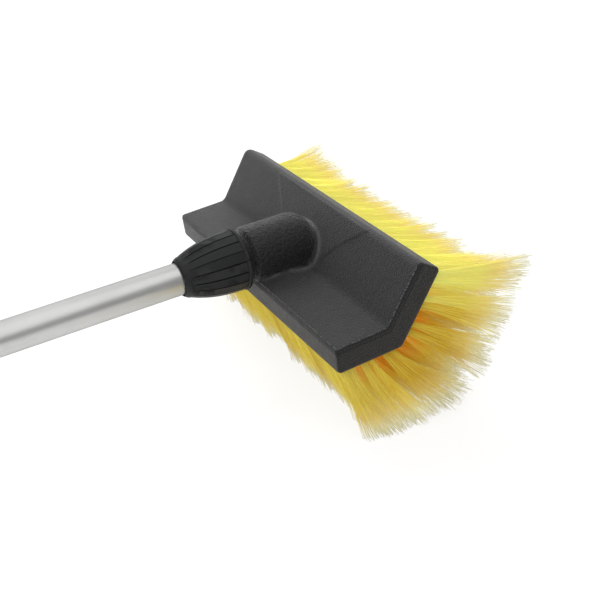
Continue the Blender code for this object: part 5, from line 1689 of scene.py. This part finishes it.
def lever_arm():
    """The lever's arm: it widens and lifts towards a round tip."""
    arm = upright_section("lever_arm", 2 * ARM_HALF_WIDTH, ARM_THICKNESS,
                          (0, ARM_START, LEVER_TOP - ARM_DROP + ARM_THICKNESS / 2))
    stations = [(ARM_START, ARM_HALF_WIDTH, 0.0)]
    for step in range(1, ARM_STEPS + 1):
        share = step / ARM_STEPS
        stations.append((ARM_START + (ARM_STRAIGHT - ARM_START) * share,
                         ARM_HALF_WIDTH + (TIP_HALF_WIDTH - ARM_HALF_WIDTH) * share,
                         TIP_LIFT * share ** 2))
    for step in range(1, ARM_STEPS):
        angle = math.pi / 2 * step / ARM_STEPS
        stations.append((ARM_STRAIGHT + TIP_HALF_WIDTH * math.sin(angle),
                         TIP_HALF_WIDTH * math.cos(angle), TIP_LIFT))
    draw_out(stations)
    close_seams()
    return arm


# The finish of each piece inside the clamp and the valve
INNER_FINISHES = {
    "clamp_collet": "clamp_moulding",
    "slip_ring": "clamp_moulding",
    "socket_seal": "seal_rubber",
    "tube_ring": "seal_rubber",
    "stem_ring": "seal_rubber",
    "ball_seat_front": "seat_moulding",
    "ball_seat_rear": "seat_moulding",
    "valve_ball": "valve_brass",
    "valve_stem": "valve_brass",
}


class BROOM_OT_hidden(Operator):
    """Give the pieces inside the clamp and the valve their finishes."""

    bl_idname = "broom.dress_inside"
    bl_label = "Inner pieces"

    def execute(self, context):
        colours = context.scene.broom_colours
        finishes = {name: moulded(name, colours)
                    for name in dict.fromkeys(INNER_FINISHES.values())}
        for node_name, finish in INNER_FINISHES.items():
            mesh = frame["nodes"][node_name].data
            mesh.materials.clear()
            mesh.materials.append(finishes[finish])
        return {"FINISHED"}


# The stage: the photograph's camera, in the block's frame
PHOTO_PIXELS = 600
FOCAL_PIXELS = 1000
VIEW_RIGHT = Vector((0.47936, 0.8681, -0.12886))
VIEW_DOWN = Vector((0.40716, -0.35006, -0.84361))
VIEW_AHEAD = Vector((-0.77745, 0.35193, -0.52126))
VIEW_PLACE = Vector((0.6091, -0.2770, 0.3687))
SENSOR = 36.0

# Lamps: direction from the brush head, distance, size and power
LAMPS = {
    "overhead_light": ((0.20, -0.24, 1.0), 2.4, 5.6, 80.0),
    "key_light": ((-1.0, 0.1, 0.8), 1.1, 1.0, 12.0),
    "back_light": ((-0.87, 0.34, 0.34), 3.0, 3.4, 27.0),
}


class BROOM_OT_stage(Operator):
    """Set up the floor, the soft lights and the camera."""

    bl_idname = "broom.make_stage"
    bl_label = "Stage"

    def execute(self, context):
        make_floor(context.scene.broom_colours)
        for name, settings in LAMPS.items():
            area_light(name, BLOCK_FRAME.translation, *settings)
        bpy.data.objects["key_light"].visible_glossy = False
        white_world(context.scene)
        photo_camera(context.scene)
        context.scene.view_settings.view_transform = "Standard"
        return {"FINISHED"}


FLOOR_SIZE = 12.0
FLOOR_CELLS = 8
FLOOR_RIM = 5.9
FLOOR_DROP = 0.4
FLOOR_GAP_UNDER = 0.0003
FLOOR_STRENGTH = 1.13
FLOOR_FADE = (1.2, 2.8)
NEAR_WHITE = 0.72
MIRRORED_WHITE = 0.12


def make_floor(colours):
    """A plain pale floor: a wide sheet with its rim turned down, white far from the broom."""
    floor = start_piece("studio_floor", bpy.ops.mesh.primitive_grid_add,
                        x_subdivisions=FLOOR_CELLS, y_subdivisions=FLOOR_CELLS,
                        size=FLOOR_SIZE)
    pick(floor, "verts", lambda vert: max(abs(vert.co.x), abs(vert.co.y)) > FLOOR_RIM)
    move((0, 0, -FLOOR_DROP))
    set_down(floor, Matrix.Translation((0, 0, -FLOOR_GAP_UNDER)))
    material, tree, shader = new_material("studio_floor", 0.9)
    shader.inputs["Base Color"].default_value = colours.floor
    shader.inputs["Specular IOR Level"].default_value = 0.1
    light = node(tree, "ShaderNodeEmission", Strength=FLOOR_STRENGTH, Color=(1, 1, 1, 1))
    path = tree.nodes.new("ShaderNodeLightPath").outputs
    seen = math_node(tree, "MAXIMUM", path["Is Camera Ray"], path["Is Transmission Ray"])
    reach = node(tree, "ShaderNodeVectorMath", [(object_vector(tree), 0)],
                 operation="LENGTH")
    white = carry(tree, reach.outputs["Value"], FLOOR_FADE, (NEAR_WHITE, 1.0), soft=True)
    share = math_node(tree, "MAXIMUM", math_node(tree, "MULTIPLY", seen, white),
                      math_node(tree, "MULTIPLY", path["Is Glossy Ray"], MIRRORED_WHITE))
    mix = node(tree, "ShaderNodeMixShader", [(share, "Fac"), (shader.outputs["BSDF"], 1),
                                             (light.outputs["Emission"], 2)])
    tree.links.new(mix.outputs["Shader"], tree.nodes["Material Output"].inputs["Surface"])
    floor.data.materials.append(material)


def area_light(name, target, direction, distance, size, power):
    """A square soft light that faces the target and doesn't show itself."""
    deselect()
    bpy.ops.object.light_add(type="AREA")
    lamp = bpy.context.object
    lamp.name = name
    away = Vector(direction).normalized()
    lamp.matrix_world = (Matrix.Translation(target + away * distance)
                         @ away.to_track_quat("Z", "Y").to_matrix().to_4x4())
    lamp.data.shape = "SQUARE"
    lamp.data.size = size
    lamp.data.energy = power
    lamp.visible_camera = False


SOFT_LIGHT = 0.27
MIRRORED_LIGHT = 0.06


def white_world(scene):
    """White behind the floor and in reflections, and a plain soft light elsewhere."""
    world = bpy.data.worlds.new("studio_world")
    scene.world = world
    world.use_nodes = True
    tree = world.node_tree
    back = tree.nodes["Background"]
    back.inputs["Color"].default_value = (1, 1, 1, 1)
    path = tree.nodes.new("ShaderNodeLightPath").outputs
    strength = math_node(tree, "MULTIPLY_ADD", path["Is Glossy Ray"], MIRRORED_LIGHT,
                         SOFT_LIGHT)
    white = math_node(tree, "MAXIMUM", strength, path["Is Camera Ray"])
    tree.links.new(white, back.inputs["Strength"])


def photo_camera(scene):
    """The camera at the photograph's viewpoint."""
    deselect()
    bpy.ops.object.camera_add()
    camera = bpy.context.object
    camera.name = "photo_camera"
    view = place_matrix(VIEW_RIGHT, -VIEW_DOWN, -VIEW_AHEAD, VIEW_PLACE)
    camera.matrix_world = BLOCK_FRAME @ view
    camera.data.sensor_width = SENSOR
    camera.data.lens = SENSOR * FOCAL_PIXELS / PHOTO_PIXELS
    camera.data.clip_start = 0.01
    camera.data.clip_end = 50.0
    scene.camera = camera


class BROOM_PT_sidebar(Panel):
    """The broom's sizes, colours and steps in the sidebar."""

    bl_idname = "BROOM_PT_sidebar"
    bl_label = "Wash Broom"
    bl_space_type = "VIEW_3D"
    bl_region_type = "UI"
    bl_category = "Broom"

    def draw(self, context):
        for settings in (context.scene.broom_sizes, context.scene.broom_colours):
            box = self.layout.box()
            for name in settings.__annotations__:
                box.prop(settings, name)
        for step in STEPS:
            self.layout.operator(step.bl_idname)


STEPS = (BROOM_OT_block, BROOM_OT_spray_bar, BROOM_OT_bristles, BROOM_OT_nut, BROOM_OT_tube,
         BROOM_OT_grip, BROOM_OT_valve, BROOM_OT_connector, BROOM_OT_lever, BROOM_OT_hidden,
         BROOM_OT_stage)
CLASSES = (BroomSizes, BroomColours, *STEPS, BROOM_PT_sidebar)


def register():
    """Register the classes and the scene's settings."""
    for item in CLASSES:
        bpy.utils.register_class(item)
    bpy.types.Scene.broom_sizes = PointerProperty(type=BroomSizes)
    bpy.types.Scene.broom_colours = PointerProperty(type=BroomColours)


def unregister():
    """Take the classes and settings out again."""
    del bpy.types.Scene.broom_colours
    del bpy.types.Scene.broom_sizes
    for item in reversed(CLASSES):
        bpy.utils.unregister_class(item)


def main():
    """Register the steps and build every piece in order."""
    register()
    for step in STEPS:
        section, name = step.bl_idname.split(".")
        getattr(getattr(bpy.ops, section), name)()


if __name__ == "__main__":
    main()
